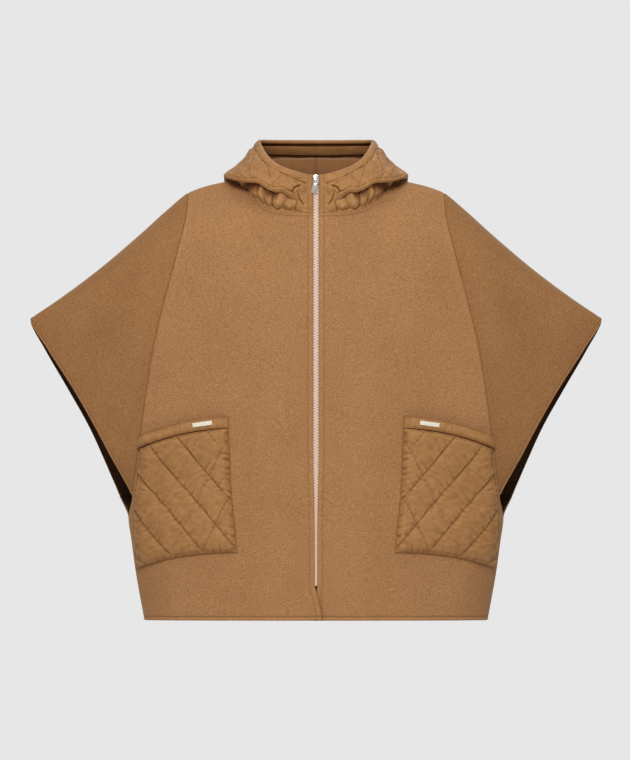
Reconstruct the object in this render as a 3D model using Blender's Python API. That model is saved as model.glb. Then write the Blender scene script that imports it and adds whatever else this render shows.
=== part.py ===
"""A hooded poncho in camel wool, worn and hollow: batwing fronts and back, a quilted
nylon hood lying back from the neck, quilted patch pockets and a zip up the front.

Metres, +Z up, +X to the wearer's left, front towards -Y. The origin is between the
shoulders, at shoulder height, where the wearer holds the garment up. Every sheet of
cloth is worked out from two surfaces, the front and the back, given as a depth over
the garment's outline; what is sewn onto a sheet is made from its points, moved out.
"""

import math

import bmesh
import bpy
from mathutils import Vector

# ---- cloth ----
WOOL = 0.0020  # thickness of the wool
SEAM = 0.0003  # gap between two pieces at a seam
NYLON = 0.0026  # padded nylon along its quilting
LINING = 0.0008
QUILT_RISE = 0.0030  # how far the padding stands up between quilting lines

# ---- outline seen from the front ----
HEM = -0.7315
SHOULDER_X, SHOULDER_Z = 0.2170, -0.0045  # top of the seam between body and sleeve
TIP_X, TIP_Z = 0.4865, -0.2185  # sleeve tip, top
TIP_LOW_Z = -0.2260  # sleeve tip, lower end of its blunt end
CUFF_CORNER_Z = -0.5210  # where that seam meets the cuff
ARMHOLE_Z = -0.5560  # top of the closed side seam


def table(names, *rows):
    """The rows as one list for each named column."""
    return dict(zip(names.split(), map(list, zip(*rows))))


# Shoulder and overarm line. Inside the neck it is the slope that the neck gives.
TOP_LINE = table(
    "across height fold",
    (0.0000, 0.0570, 0.085),
    (0.0600, 0.0428, 0.085),
    (0.1000, 0.0302, 0.085),
    (0.1185, 0.0245, 0.085),
    (0.1550, 0.0145, 0.085),
    (0.1850, 0.0075, 0.085),
    (SHOULDER_X, SHOULDER_Z, 0.085),
    (0.2480, -0.0290, 0.073),
    (0.2990, -0.0750, 0.058),
    (0.3670, -0.1330, 0.039),
    (0.4350, -0.1840, 0.020),
    (TIP_X, TIP_Z, 0.006),
)

# Level sections of the garment: depth at the centre, depth at the outer edge, half
# width out to the cuff or side seam, how square the section is, and its closing power:
# 1 where the edge is an open cuff, 0.5 where the side is closed and round.
SECTIONS = table(
    "height front back edge_front edge_back reach_front reach_back square close",
    (0.080, 0.030, 0.036, 0.009, 0.009, 0.500, 0.500, 1.7, 1.00),
    (0.030, 0.046, 0.050, 0.009, 0.009, 0.500, 0.500, 1.7, 1.00),
    (0.000, 0.062, 0.066, 0.009, 0.009, 0.500, 0.500, 1.7, 1.00),
    (-0.040, 0.086, 0.082, 0.009, 0.009, 0.500, 0.500, 1.7, 1.00),
    (-0.100, 0.106, 0.096, 0.009, 0.009, 0.498, 0.498, 1.7, 1.00),
    (TIP_Z, 0.117, 0.102, 0.009, 0.009, 0.487, 0.4875, 1.8, 1.00),
    (-0.272, 0.118, 0.102, 0.013, 0.017, 0.4565, 0.4613, 1.9, 1.00),
    (-0.340, 0.118, 0.101, 0.019, 0.027, 0.4125, 0.4216, 2.0, 1.00),
    (-0.408, 0.118, 0.101, 0.027, 0.037, 0.3740, 0.3842, 2.1, 1.00),
    (-0.459, 0.119, 0.101, 0.034, 0.045, 0.3468, 0.3610, 2.2, 1.00),
    (CUFF_CORNER_Z, 0.120, 0.102, 0.034, 0.047, 0.3130, 0.3350, 2.4, 0.80),
    (ARMHOLE_Z, 0.120, 0.103, 0.000, 0.000, 0.3196, 0.3196, 2.5, 0.50),
    (-0.595, 0.121, 0.104, 0.000, 0.000, 0.3145, 0.3145, 2.6, 0.50),
    (-0.646, 0.121, 0.105, 0.000, 0.000, 0.3077, 0.3077, 2.6, 0.50),
    (HEM, 0.122, 0.107, 0.000, 0.000, 0.2924, 0.2924, 2.6, 0.50),
)

# The long seam between body and sleeve.
BODY_SEAM = table(
    "height front back",
    (SHOULDER_Z, SHOULDER_X, SHOULDER_X),
    (-0.040, 0.2200, 0.2200),
    (-0.083, 0.2295, 0.2295),
    (-0.180, 0.2550, 0.2550),
    (-0.265, 0.2754, 0.2760),
    (-0.347, 0.2890, 0.2920),
    (-0.4165, 0.2980, 0.3050),
    (CUFF_CORNER_Z, 0.3130, 0.3350),
)

# Neckline by station: 0 beside the zip, 1 on top of the shoulder, 2 at the back.
NECKLINE = table(
    "station across height",
    (0.0, 0.0145, -0.0380),
    (0.2, 0.0500, -0.0365),
    (0.4, 0.0800, -0.0310),
    (0.6, 0.1020, -0.0180),
    (0.8, 0.1150, 0.0000),
    (1.0, 0.1185, 0.0225),
    (1.2, 0.1120, 0.0205),
    (1.4, 0.0970, 0.0185),
    (1.6, 0.0700, 0.0155),
    (1.8, 0.0360, 0.0130),
    (2.0, 0.0000, 0.0120),
)

# The hood as it lies back: its roll over the neckline, the fold or bag bottom below it,
# the bulge of its side and the rim of its opening, at stations like the neckline's.
HOOD = table(
    "station roll fold side rim",
    (0.0, (0.0145, -0.0856, -0.0290), (0.0145, -0.0868, -0.0120),
     (0.0145, -0.0867, 0.0060), (0.0145, -0.0862, 0.0262)),
    (0.2, (0.0500, -0.0910, -0.0240), (0.0500, -0.1005, -0.0070),
     (0.0455, -0.0935, 0.0160), (0.0400, -0.0815, 0.0335)),
    (0.4, (0.0830, -0.0860, -0.0160), (0.0850, -0.0985, 0.0045),
     (0.0780, -0.0840, 0.0270), (0.0660, -0.0640, 0.0440)),
    (0.6, (0.1080, -0.0700, 0.0020), (0.1150, -0.0830, 0.0135),
     (0.1040, -0.0640, 0.0370), (0.0820, -0.0420, 0.0590)),
    (0.8, (0.1230, -0.0410, 0.0110), (0.1420, -0.0520, 0.0180),
     (0.1240, -0.0390, 0.0370), (0.0905, -0.0140, 0.0730)),
    (1.0, (0.1235, -0.0005, 0.0315), (0.1545, -0.0080, 0.0225),
     (0.1295, 0.0050, 0.0430), (0.0948, 0.0160, 0.0820)),
    (1.2, (0.1150, 0.0210, 0.0370), (0.1510, 0.0380, 0.0115),
     (0.1275, 0.0470, 0.0430), (0.0958, 0.0450, 0.0860)),
    (1.4, (0.1000, 0.0420, 0.0470), (0.1390, 0.0780, -0.0200),
     (0.1190, 0.0870, 0.0370), (0.0905, 0.0720, 0.0862)),
    (1.6, (0.0760, 0.0590, 0.0560), (0.1100, 0.1060, -0.0660),
     (0.0980, 0.1160, 0.0280), (0.0700, 0.0950, 0.0862)),
    (1.8, (0.0400, 0.0680, 0.0580), (0.0620, 0.1200, -0.1000),
     (0.0550, 0.1370, 0.0200), (0.0370, 0.1080, 0.0862)),
    (2.0, (0.0000, 0.0710, 0.0580), (0.0000, 0.1250, -0.1120),
     (0.0000, 0.1450, 0.0160), (0.0000, 0.1120, 0.0862)),
)
# How wide the bends of the hood are, at its roll and at its fold.
BENDS = table(
    "station roll fold",
    (0.0, 0.0040, 0.0060),
    (0.6, 0.0050, 0.0085),
    (0.8, 0.0070, 0.0085),
    (1.2, 0.0140, 0.0095),
    (1.5, 0.0190, 0.0170),
    (2.0, 0.0240, 0.0240),
)
ROLL_REACH = 0.0600  # how far the roundness of a bend of the hood carries on
HIDDEN_FROM = 0.75  # station from where the hood's inner layer is out of sight, and plain
RIM = 0.0150  # depth of the band round the hood's opening
RIM_WALL = 0.0052
RIM_GAP = 0.0009  # between the band and the quilted nylon
NECK_GAP = 0.0009  # between the hood and the wool's edge at the neckline
GATHER_RISE = 0.0022  # gathers of the hood along the front neckline

# ---- zip ----
ZIP_EDGE = 0.0046  # from the centre to each front's zip edge
ZIP_END = -0.6730
OVERLAP = 0.0090  # how far the right front laps over the left below the zip
OVERLAP_LIFT = 0.0030
FACING_IN, FACING_OUT = 0.0055, 0.0142  # the strips beside the zip in the hood
TAPE_IN, TAPE_OUT, TAPE_WALL = 0.0038, 0.0140, 0.0008
TAPE_GAP = 0.0008  # behind the fronts
TEETH_HALF, TEETH_WALL = 0.0035, 0.0030
SLIDER_TOP, SLIDER_LOW = 0.0252, 0.0105
PULL_AXIS_Z = 0.0172
PULL_LENGTH, PULL_WIDTH, PULL_WALL = 0.0232, 0.0098, 0.0014
PULL_LEAN = math.radians(9.0)

# ---- pockets, on the wearer's left front; the other is its mirror ----
POCKET = table(
    "down inner_x inner_z outer_x outer_z",
    (0.0, 0.1480, -0.4040, 0.2978, -0.4390),
    (0.5, 0.1430, -0.5130, 0.3065, -0.5320),
    (1.0, 0.1330, -0.6170, 0.3040, -0.6430),
)
POCKET_TALL = 0.2350
POCKET_BOW = (0.0080, 0.0080)  # how far the mouth and the bottom edge bow up
POCKET_HOLLOW = 0.0115  # room between pocket and front, at the mouth
POCKET_ROUND = 0.0230  # how far in from its edges the pocket rises
POCKET_SEAT = (0.0005, 0.0016)  # room under the pocket's inner edge and its outer one
BAND_DEPTH = 0.0190
BAND_WALL = 0.0046
QUILT_PITCH_A, QUILT_SLOPE_A, QUILT_START_A = 0.0580, 0.82, 0.0380
QUILT_PITCH_B, QUILT_SLOPE_B, QUILT_START_B = 0.0490, -0.475, -0.0090
PLATE_WIDTH, PLATE_HEIGHT, PLATE_WALL = 0.0340, 0.0072, 0.0012
PLATE_AT = 0.27  # along the band, from its inner end

# ---- mesh density ----
RIDGE_DROPS = (0.0, 0.0040, 0.0140, 0.0310, 0.0560, 0.0900)
SIDE_ROWS = 8
SIDE_SEAM_ROWS = 4
NECK_COLUMNS = 6
EVEN_DOWN = 0.35  # share of the height below which a body piece's columns are evenly set
SHOULDER_STEPS = (0.30, 0.55, 0.75, 0.88, 0.96, 1.0)
SLEEVE_COLUMNS = 8
HOOD_COLUMNS = 24  # on the quilted side; the plain side has every second one
HOOD_ROWS = (2, 4, 4, 8, 2, 6, 6)  # rows of each span of a section, neckline to rim band
ROLL_SPAN = 3  # the long span after the roll, whose rows widen downwards
RIM_STEPS = (0.0, 0.45, 0.85, 1.0)
POCKET_COLUMNS, POCKET_ROWS = 18, 26
BAND_COLUMNS, BAND_ROWS = 12, 4


# ---------------------------------------------------------------- curves
def smooth(places, values):
    """A smooth curve through the values that never swings past them."""
    pairs = sorted(zip(places, values))
    at = [p for p, _ in pairs]
    val = [v for _, v in pairs]
    gaps = [b - a for a, b in zip(at, at[1:])]
    slopes = [(b - a) / g for a, b, g in zip(val, val[1:], gaps)]
    tangents = [slopes[0]]
    for i in range(1, len(at) - 1):
        low, high = slopes[i - 1], slopes[i]
        flat = low * high <= 0
        tangents.append(0.0 if flat else 2 * low * high / (low + high))
    tangents.append(slopes[-1])

    def value(x):
        x = min(max(x, at[0]), at[-1])
        i = max(k for k in range(len(gaps)) if at[k] <= x)
        t = (x - at[i]) / gaps[i]
        rise = t * t * (3 - 2 * t)
        start = t * (1 - t) ** 2 * gaps[i] * tangents[i]
        end = t * t * (t - 1) * gaps[i] * tangents[i + 1]
        return val[i] + (val[i + 1] - val[i]) * rise + start + end

    return value


def curves_of(rows, key):
    """A smooth curve for each column of the table, over its key column."""
    return {n: smooth(rows[key], rows[n]) for n in rows if n != key}


def mix(a, b, t):
    return a + (b - a) * t


def ease(t):
    t = min(max(t, 0.0), 1.0)
    return t * t * (3 - 2 * t)


TOP = curves_of(TOP_LINE, "across")
SECTION = curves_of(SECTIONS, "height")
LONG_SEAM = curves_of(BODY_SEAM, "height")
NECK = curves_of(NECKLINE, "station")
BEND = curves_of(BENDS, "station")
POCKET_EDGE = curves_of(POCKET, "down")
FACE_SIGN = {"front": -1, "back": 1}


# ---------------------------------------------------------------- the two sheets
def depth(face, x, z):
    """How far the outer side of the front or back stands from the plane y = 0."""
    edge = SECTION["edge_" + face](z)
    across = min(abs(x) / SECTION["reach_" + face](z), 1.0)
    bulge = (1 - across ** SECTION["square"](z)) ** SECTION["close"](z)
    full = mix(edge, SECTION[face](z), bulge)
    below = max(TOP["height"](abs(x)) - z, 0.0) / TOP["fold"](abs(x))
    ridge = math.sqrt(1 - (1 - below) ** 2) if below < 1 else 1.0
    return full * ridge


def on_sheet(face, x, z, lift=0.0):
    """The point of the outer side at (x, z), moved out by lift."""
    away = max(depth(face, x, z), SEAM / 2)
    point = Vector((x, FACE_SIGN[face] * away, z))
    return point + outward(face, x, z) * lift if lift else point


def outward(face, x, z):
    """The outward normal of the sheet at (x, z); level along a closed side or ridge."""
    step = 2e-6
    inset = 2e-5
    side = 1 if x >= 0 else -1
    at_x = side * min(abs(x), SECTION["reach_" + face](z) - inset)
    at_z = min(z, TOP["height"](abs(at_x)) - inset)
    slope_x = (depth(face, at_x + step, at_z) - depth(face, at_x - step, at_z)) / (2 * step)
    slope_z = (depth(face, at_x, at_z + step) - depth(face, at_x, at_z - step)) / (2 * step)
    normal = Vector((-slope_x, FACE_SIGN[face], -slope_z))
    if depth(face, x, z) < SEAM:
        normal.y = 0.0
    return normal.normalized()


def side_rows():
    """Heights of the rows where they meet the sleeve seam and the side seam."""
    rows = [SHOULDER_Z - d for d in RIDGE_DROPS]
    drop = (rows[-1] - CUFF_CORNER_Z) / SIDE_ROWS
    rows += [rows[-1] - drop * (i + 1) for i in range(SIDE_ROWS - 1)]
    rows += [CUFF_CORNER_Z, (CUFF_CORNER_Z + ARMHOLE_Z) / 2]
    below = (ARMHOLE_Z - HEM) / SIDE_SEAM_ROWS
    return rows + [ARMHOLE_Z - below * i for i in range(SIDE_SEAM_ROWS + 1)]


ROWS = side_rows()
CUFF_ROW = ROWS.index(CUFF_CORNER_Z)


def outer_edge(face, z):
    """Half width of the body piece: the long seam, then cuff edge and side seam."""
    if z > CUFF_CORNER_Z:
        return LONG_SEAM[face](z) - SEAM / 2
    return SECTION["reach_" + face](z)


def top_stations(face):
    """Column tops of a body piece, from the centre to the shoulder: (x, z) pairs."""
    start, end = (0.0, 1.0) if face == "front" else (2.0, 1.0)
    neck = [mix(start, end, i / NECK_COLUMNS) for i in range(NECK_COLUMNS + 1)]
    tops = [(NECK["across"](s), NECK["height"](s)) for s in neck]
    for t in SHOULDER_STEPS:
        x = mix(NECK["across"](1.0), SHOULDER_X, t)
        tops.append((x, TOP["height"](x)))
    return tops


def body_columns(face, tops, inner_edge):
    """The (x, z) points down each column of a body piece, evened out below the yoke."""
    columns = []
    start = tops[0][0]
    for i, (x_top, z_top) in enumerate(tops):
        points = []
        for z_side in ROWS:
            down = (SHOULDER_Z - z_side) / (SHOULDER_Z - HEM)
            z = mix(z_top, HEM, down)
            share = (x_top - start) / (SHOULDER_X - start)
            share = mix(share, i / (len(tops) - 1), ease(down / EVEN_DOWN))
            points.append((mix(inner_edge(z), outer_edge(face, z_side), share), z))
        columns.append(points)
    return columns


def walled(face, grid, wall=WOOL, lift=None):
    """Outer and inner points of a sheet of cloth over a grid of (x, z) places."""
    outer, inner = [], []
    for row in grid:
        outer_row, inner_row = [], []
        for x, z in row:
            out = outward(face, x, z)
            raised = lift(x, z) if lift else 0.0
            point = on_sheet(face, x, z) + out * raised
            outer_row.append(point)
            inner_row.append(point - out * wall)
        outer.append(outer_row)
        inner.append(inner_row)
    return outer, inner


def mirrored(grid):
    return [[Vector((-p.x, p.y, p.z)) for p in row] for row in grid]


# ---------------------------------------------------------------- meshes
def strip(faces, outer, inner, ratio):
    """Faces between two edges, where the outer one has ratio times as many steps."""
    for i in range(len(inner) - 1):
        first = i * ratio
        faces.append((outer[first], outer[first + 1], inner[i]))
        for k in range(1, ratio):
            faces.append((outer[first + k], outer[first + k + 1], inner[i + 1]))
        faces.append((outer[first + 1], inner[i + 1], inner[i]))


def cells(faces, ids):
    """Two triangles for each cell of a grid, the split turned from cell to cell."""
    for j in range(len(ids) - 1):
        for i in range(len(ids[0]) - 1):
            a, b = ids[j][i], ids[j][i + 1]
            c, d = ids[j + 1][i + 1], ids[j + 1][i]
            if (i + j) % 2:
                faces += [(a, b, c), (a, c, d)]
            else:
                faces += [(a, b, d), (b, c, d)]


def border(ids):
    """The four edges of a grid, each as a list of its ids."""
    return ids[0], ids[-1], [r[0] for r in ids], [r[-1] for r in ids]


def wall_object(name, outer, inner, material, ratio=1):
    """A closed wall between a grid of outer points and a plainer one of inner points."""
    points = []

    def numbered(grid):
        ids = []
        for row in grid:
            ids.append(list(range(len(points), len(points) + len(row))))
            points.extend(row)
        return ids

    outer_ids, inner_ids = numbered(outer), numbered(inner)
    faces = []
    cells(faces, outer_ids)
    cells(faces, inner_ids)
    for out_edge, in_edge in zip(border(outer_ids), border(inner_ids)):
        strip(faces, out_edge, in_edge, ratio)
    return mesh_object(name, points, faces, material)


def mesh_object(name, points, faces, material, smooth_angle=35):
    mesh = bpy.data.meshes.new(name)
    mesh.from_pydata([tuple(p) for p in points], [], faces)
    shape = bmesh.new()
    shape.from_mesh(mesh)
    bmesh.ops.recalc_face_normals(shape, faces=shape.faces)
    shape.to_mesh(mesh)
    shape.free()
    mesh.shade_smooth()
    mesh.set_sharp_from_angle(angle=math.radians(smooth_angle))
    mesh.materials.append(material)
    obj = bpy.data.objects.new(name, mesh)
    bpy.context.scene.collection.objects.link(obj)
    return obj


def section_object(name, loops, material):
    """A closed body through a row of closed sections with equal point counts."""
    count = len(loops[0])
    points = [p for loop in loops for p in loop]
    faces = [tuple(range(count)), tuple(len(points) - count + i for i in range(count))]
    for j in range(len(loops) - 1):
        for i in range(count):
            a, b = j * count + i, j * count + (i + 1) % count
            faces.append((a, b, b + count, a + count))
    return mesh_object(name, points, faces, material)


def finish(name, colour, roughness, metallic=0.0):
    material = bpy.data.materials.new(name)
    material.use_nodes = True
    shader = material.node_tree.nodes["Principled BSDF"]
    shader.inputs["Base Color"].default_value = (*colour, 1.0)
    shader.inputs["Roughness"].default_value = roughness
    shader.inputs["Metallic"].default_value = metallic
    return material


def for_both_sides(name, outer, inner, colour, roughness, ratio=1):
    """The wearer's left piece, and its mirror image on the wearer's right."""
    left, right = name + "_left", name + "_right"
    wall_object(left, outer, inner, finish(left, colour, roughness), ratio)
    mirror_in = mirrored(inner)
    wall_object(right, mirrored(outer), mirror_in, finish(right, colour, roughness), ratio)


# ---------------------------------------------------------------- wool pieces
WOOL_COLOUR, WOOL_ROUGHNESS = (0.39, 0.19, 0.083), 0.95
NYLON_COLOUR, NYLON_ROUGHNESS = (0.36, 0.17, 0.070), 0.60


def lapping(z):
    """0 along the zip, rising to 1 at the hem, where one front laps over the other."""
    return ease((ZIP_END - 0.004 - z) / (ZIP_END - 0.004 - HEM))


def make_front(side):
    laps = side == "right"

    def inner_edge(z):
        return mix(ZIP_EDGE, -OVERLAP, lapping(z)) if laps else ZIP_EDGE

    def lift(x, z):
        return OVERLAP_LIFT * lapping(z) * ease((0.050 - x) / 0.036)

    tops = [(ZIP_EDGE, NECKLINE["height"][0])] + top_stations("front")
    grid = list(zip(*body_columns("front", tops, inner_edge)))
    outer, inner = walled("front", grid, lift=lift if laps else None)
    if laps:
        outer, inner = mirrored(outer), mirrored(inner)
    name = "front_" + side
    wall_object(name, outer, inner, finish(name, WOOL_COLOUR, WOOL_ROUGHNESS))


def make_back():
    half = body_columns("back", top_stations("back"), lambda z: 0.0)
    other = [[(-x, z) for x, z in column] for column in half[:0:-1]]
    grid = list(zip(*(other + half)))
    outer, inner = walled("back", grid)
    wall_object("back", outer, inner, finish("back", WOOL_COLOUR, WOOL_ROUGHNESS))


def sleeve_grid(face):
    """Columns from the long seam to the tip, each from the overarm to the cuff."""
    seam = LONG_SEAM[face]
    x_corner = seam(CUFF_CORNER_Z)
    grid = []
    for z_seam in ROWS[: CUFF_ROW + 1]:
        down = (SHOULDER_Z - z_seam) / (SHOULDER_Z - CUFF_CORNER_Z)
        lean = (seam(z_seam) - SHOULDER_X) / (x_corner - SHOULDER_X)
        row = []
        for k in range(SLEEVE_COLUMNS + 1):
            out = k / SLEEVE_COLUMNS
            x_top = mix(SHOULDER_X, TIP_X, out)
            z_low = mix(CUFF_CORNER_Z, TIP_LOW_Z, out)
            x_low = SECTION["reach_" + face](z_low)
            x = mix(x_top, x_low, lean)
            z = mix(TOP["height"](x_top), z_low, down)
            x += SEAM / 2 if k == 0 else 0.0
            row.append((x, min(z, TOP["height"](x))))
        grid.append(row)
    return grid


def make_sleeves(face):
    outer, inner = walled(face, sleeve_grid(face))
    for_both_sides("sleeve_" + face, outer, inner, WOOL_COLOUR, WOOL_ROUGHNESS)


# ---------------------------------------------------------------- hood
def neck_place(station):
    """A point of the neckline, on the wool's outer side."""
    face = "front" if station <= 1 else "back"
    x, z = NECK["across"](station), NECK["height"](station)
    return on_sheet(face, x, min(z, TOP["height"](x)))


def neck_start(station):
    """Where a section of the hood starts, just inside the wool's edge, and its way up."""
    step = 0.01
    low, high = max(station - step, 0.0), min(station + step, 2.0)
    along = (neck_place(high) - neck_place(low)).normalized()
    face = "front" if station <= 1 else "back"
    normal = outward(face, NECK["across"](station), NECK["height"](station))
    normal = (normal - along * normal.dot(along)).normalized()
    inward = along.cross(normal).normalized()
    if inward.z < 0 or (inward.z < 0.5 and inward.x > 0.3):
        inward.negate()
    rising = Vector((0.0, 0.0, 1.0))
    rising = (rising - along * rising.dot(along)).normalized()
    upright = max(rising.dot(normal), 0.0)
    start = neck_place(station) + inward * (NECK_GAP + NYLON / 2 * upright)
    return start - normal * (WOOL / 2) * (1 + upright), rising


def hood_controls(station):
    """The points that a section of the hood runs through, neckline to rim."""
    start, rising = neck_start(station)
    stations = HOOD["station"]
    roll, fold, side, rim = (
        Vector([smooth(stations, [p[k] for p in HOOD[name]])(station) for k in range(3)])
        for name in ("roll", "fold", "side", "rim")
    )
    upright = start + rising * 0.0040
    rolled = rounded(upright, roll, fold, BEND["roll"](station))
    folded = rounded(roll, fold, side, BEND["fold"](station))
    return [start, upright, *rolled, *folded, side, rim]


def rounded(before, corner, after, width):
    """Two points in place of a corner, width apart and drawn in from it."""
    back, on = (before - corner).normalized(), (after - corner).normalized()
    across = (on - back).normalized()
    drawn_in = corner + (back + on) * (0.22 * width)
    return drawn_in - across * (width / 2), drawn_in + across * (width / 2)


def heading(points, i):
    """Unit direction of a smooth curve at points[i], halfway between its two spans'."""
    before = points[i] - points[i - 1] if i > 0 else points[1] - points[0]
    after = points[i + 1] - points[i] if i + 1 < len(points) else before
    return (before.normalized() + after.normalized()).normalized()


def bent(points, i, t):
    """A point on the span from points[i] to points[i + 1] of a smooth curve."""
    reach = min((points[i + 1] - points[i]).length, ROLL_REACH)
    start, end = heading(points, i) * reach, heading(points, i + 1) * reach
    rise = t * t * (3 - 2 * t)
    curve = start * (t * (1 - t) ** 2) + end * (t * t * (t - 1))
    return points[i].lerp(points[i + 1], rise) + curve


SPAN_STEPS = 30


def hood_section(station):
    """Close points along one hood section, and how far along it each one is."""
    controls = hood_controls(station)
    fine = [controls[0]]
    for i in range(len(controls) - 1):
        fine += [bent(controls, i, (k + 1) / SPAN_STEPS) for k in range(SPAN_STEPS)]
    travelled = [0.0]
    for a, b in zip(fine, fine[1:]):
        travelled.append(travelled[-1] + (b - a).length)
    return fine, travelled


def at_distance(section, wanted):
    fine, travelled = section
    wanted = min(max(wanted, 0.0), travelled[-1])
    i = max(k for k in range(len(fine) - 1) if travelled[k] <= wanted)
    span = travelled[i + 1] - travelled[i]
    return fine[i].lerp(fine[i + 1], (wanted - travelled[i]) / span)


def shell_distances(section):
    """How far along a section its rows are: the quilted shell's, then the rim band's."""
    travelled = section[1]
    stops = [travelled[SPAN_STEPS * i] for i in range(len(HOOD_ROWS) + 1)]
    stops[-1] -= RIM + RIM_GAP
    rows = [0.0]
    for span, count in enumerate(HOOD_ROWS):
        power = 1.5 if span == ROLL_SPAN else 1.0
        low, high = stops[span], stops[span + 1]
        rows += [mix(low, high, ((k + 1) / count) ** power) for k in range(count)]
    return rows + [travelled[-1] - RIM * (1 - t) for t in RIM_STEPS]


def surface_normals(grid):
    """Normals of a grid of points, from its own neighbours."""
    normals = []
    last_row, last_column = len(grid) - 1, len(grid[0]) - 1
    for j, row in enumerate(grid):
        normals.append([])
        for i in range(len(row)):
            down = grid[min(j + 1, last_row)][i] - grid[max(j - 1, 0)][i]
            across = grid[j][min(i + 1, last_column)] - grid[j][max(i - 1, 0)]
            normals[-1].append(across.cross(down).normalized())
    return normals


def offset(grid, normals, by):
    """The grid moved along its normals, by a number or by a function of row, column."""
    moved = []
    for j, row in enumerate(grid):
        reach = by if callable(by) else lambda j, i: by
        moved.append([p + normals[j][i] * reach(j, i) for i, p in enumerate(row)])
    return moved


def quilting(along, down):
    """0 on the quilting lines, up to 1 in the middle of each diamond."""
    line_a = (along + QUILT_SLOPE_A * down - QUILT_START_A) / QUILT_PITCH_A
    line_b = (along + QUILT_SLOPE_B * down - QUILT_START_B) / QUILT_PITCH_B
    puff = abs(math.sin(math.pi * line_a) * math.sin(math.pi * line_b))
    return puff**0.55


def every_second(grid):
    return [row[::2] for row in grid[::2]]


def straightened(row, first=1):
    """The row with every second point, from the first, halfway between its neighbours."""
    moved = list(row)
    for i in range(first, len(row) - 1, 2):
        moved[i] = (row[i - 1] + row[i + 1]) / 2
    return moved


def make_hood():
    stations = [2.0 * i / HOOD_COLUMNS for i in range(HOOD_COLUMNS + 1)]
    sections = [hood_section(s) for s in stations]
    spacing = [shell_distances(s) for s in sections]
    columns = [[at_distance(s, d) for d in rows] for s, rows in zip(sections, spacing)]
    columns[0] = [Vector((NECKLINE["across"][0], p.y, p.z)) for p in columns[0]]
    columns[-1] = [Vector((SEAM / 2, p.y, p.z)) for p in columns[-1]]
    middle = [list(row) for row in zip(*columns)]
    shell_rows = sum(HOOD_ROWS) + 1
    fold_row = sum(HOOD_ROWS[: ROLL_SPAN + 1])
    for j in range(1, fold_row + 2):
        middle[j] = straightened(middle[j], HOOD_COLUMNS // 2 + 1)
    for j in (0, shell_rows - 1, shell_rows):
        middle[j] = straightened(middle[j])
    normals = surface_normals(middle)
    for row in normals:
        for end in (row[0], row[-1]):
            end.x = 0.0
            end.normalize()
    for j in (0, shell_rows - 1, shell_rows):
        normals[j] = [n.normalized() for n in straightened(normals[j])]
    shell, shell_normals = middle[:shell_rows], normals[:shell_rows]
    width = [0.0]
    for a, b in zip(shell[-8], shell[-8][1:]):
        width.append(width[-1] + (b - a).length)
    last_row, last_column = len(shell) - 1, len(shell[0]) - 1

    def puffed(j, i):
        edge = min(j, last_row - j, i, last_column - i)
        down = spacing[i][-1] - spacing[i][j]
        rise = QUILT_RISE * quilting(width[i], down) * min(1.0, 0.3 * edge)
        front = ease((HIDDEN_FROM + 0.35 - stations[i]) / 0.35)
        above_fold = ease((j - fold_row + 2) / 3)
        gathered = front * (1 - above_fold) * ease((edge - 1) / 4)
        return NYLON / 2 + rise * above_fold + GATHER_RISE * gathered * (i % 2)

    outer = offset(shell, shell_normals, puffed)
    inner = every_second(offset(shell, shell_normals, -NYLON / 2))
    for_both_sides("hood", outer, inner, NYLON_COLOUR, NYLON_ROUGHNESS, ratio=2)
    plain, plain_normals = every_second(shell), every_second(shell_normals)
    lining_out = offset(plain, plain_normals, -NYLON / 2 - SEAM)
    lining_in = offset(plain, plain_normals, -NYLON / 2 - SEAM - LINING)
    for_both_sides("hood_lining", lining_out, lining_in, (0.20, 0.096, 0.036), 0.65)
    make_rim([row[::2] for row in middle[shell_rows:]], [r[::2] for r in normals[shell_rows:]])


def make_rim(half, half_normals):
    """The band round the opening, one strip from zip to zip, its edge rounded."""
    grid, normals = [], []
    for row, out in zip(half, half_normals):
        centre = Vector((0.0, row[-1].y, row[-1].z))
        grid.append(row[:-1] + [centre] + [mirror_point(p) for p in row[-2::-1]])
        normals.append(out + [mirror_point(n) for n in out[-2::-1]])
    share = (1.0, 1.1, 0.9, 0.45)
    outer = offset(grid, normals, lambda j, i: share[j] * RIM_WALL / 2)
    inner = offset(grid, normals, lambda j, i: -share[j] * RIM_WALL / 2)
    wall_object("hood_rim", outer, inner, finish("hood_rim", NYLON_COLOUR, NYLON_ROUGHNESS))


def mirror_point(point):
    return Vector((-point.x, point.y, point.z))


# ---------------------------------------------------------------- zip
def front_line():
    """Points (y, z) of the outer side beside the zip, from its end to the hood's rim."""
    top = NECKLINE["height"][0]
    heights = [mix(top, HEM, (SHOULDER_Z - z) / (SHOULDER_Z - HEM)) for z in ROWS]
    wool = [(-depth("front", ZIP_EDGE, z), z) for z in heights]
    fine, _ = hood_section(0.0)
    hood = [(p.y - WOOL / 2, p.z) for p in fine[SPAN_STEPS :: SPAN_STEPS // 2]]
    return [p for p in wool if p[1] > ZIP_END] + hood


def line_at(line, z):
    """Where the line is at height z: straight between its points, as the cloth is."""
    line = sorted(line, key=lambda p: p[1])
    below = max([i for i in range(len(line) - 1) if line[i][1] <= z] or [0])
    (y_low, z_low), (y_high, z_high) = line[below], line[below + 1]
    return mix(y_low, y_high, (z - z_low) / (z_high - z_low))


def ribbon(name, line, z_low, z_high, x_in, x_out, front, back, colour, rough, metal=0.0):
    """An upright strip that follows the line, front and back metres behind it."""
    heights = sorted(z for _, z in line if z_low + 0.0015 < z < z_high - 0.0015)
    heights = [z_low] + heights + [z_high]
    loops = []
    for z in heights:
        y = line_at(line, z)
        corners = ((x_in, front), (x_out, front), (x_out, back), (x_in, back))
        loops.append([Vector((x, y + d, z)) for x, d in corners])
    return section_object(name, loops, finish(name, colour, rough, metal))


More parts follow.
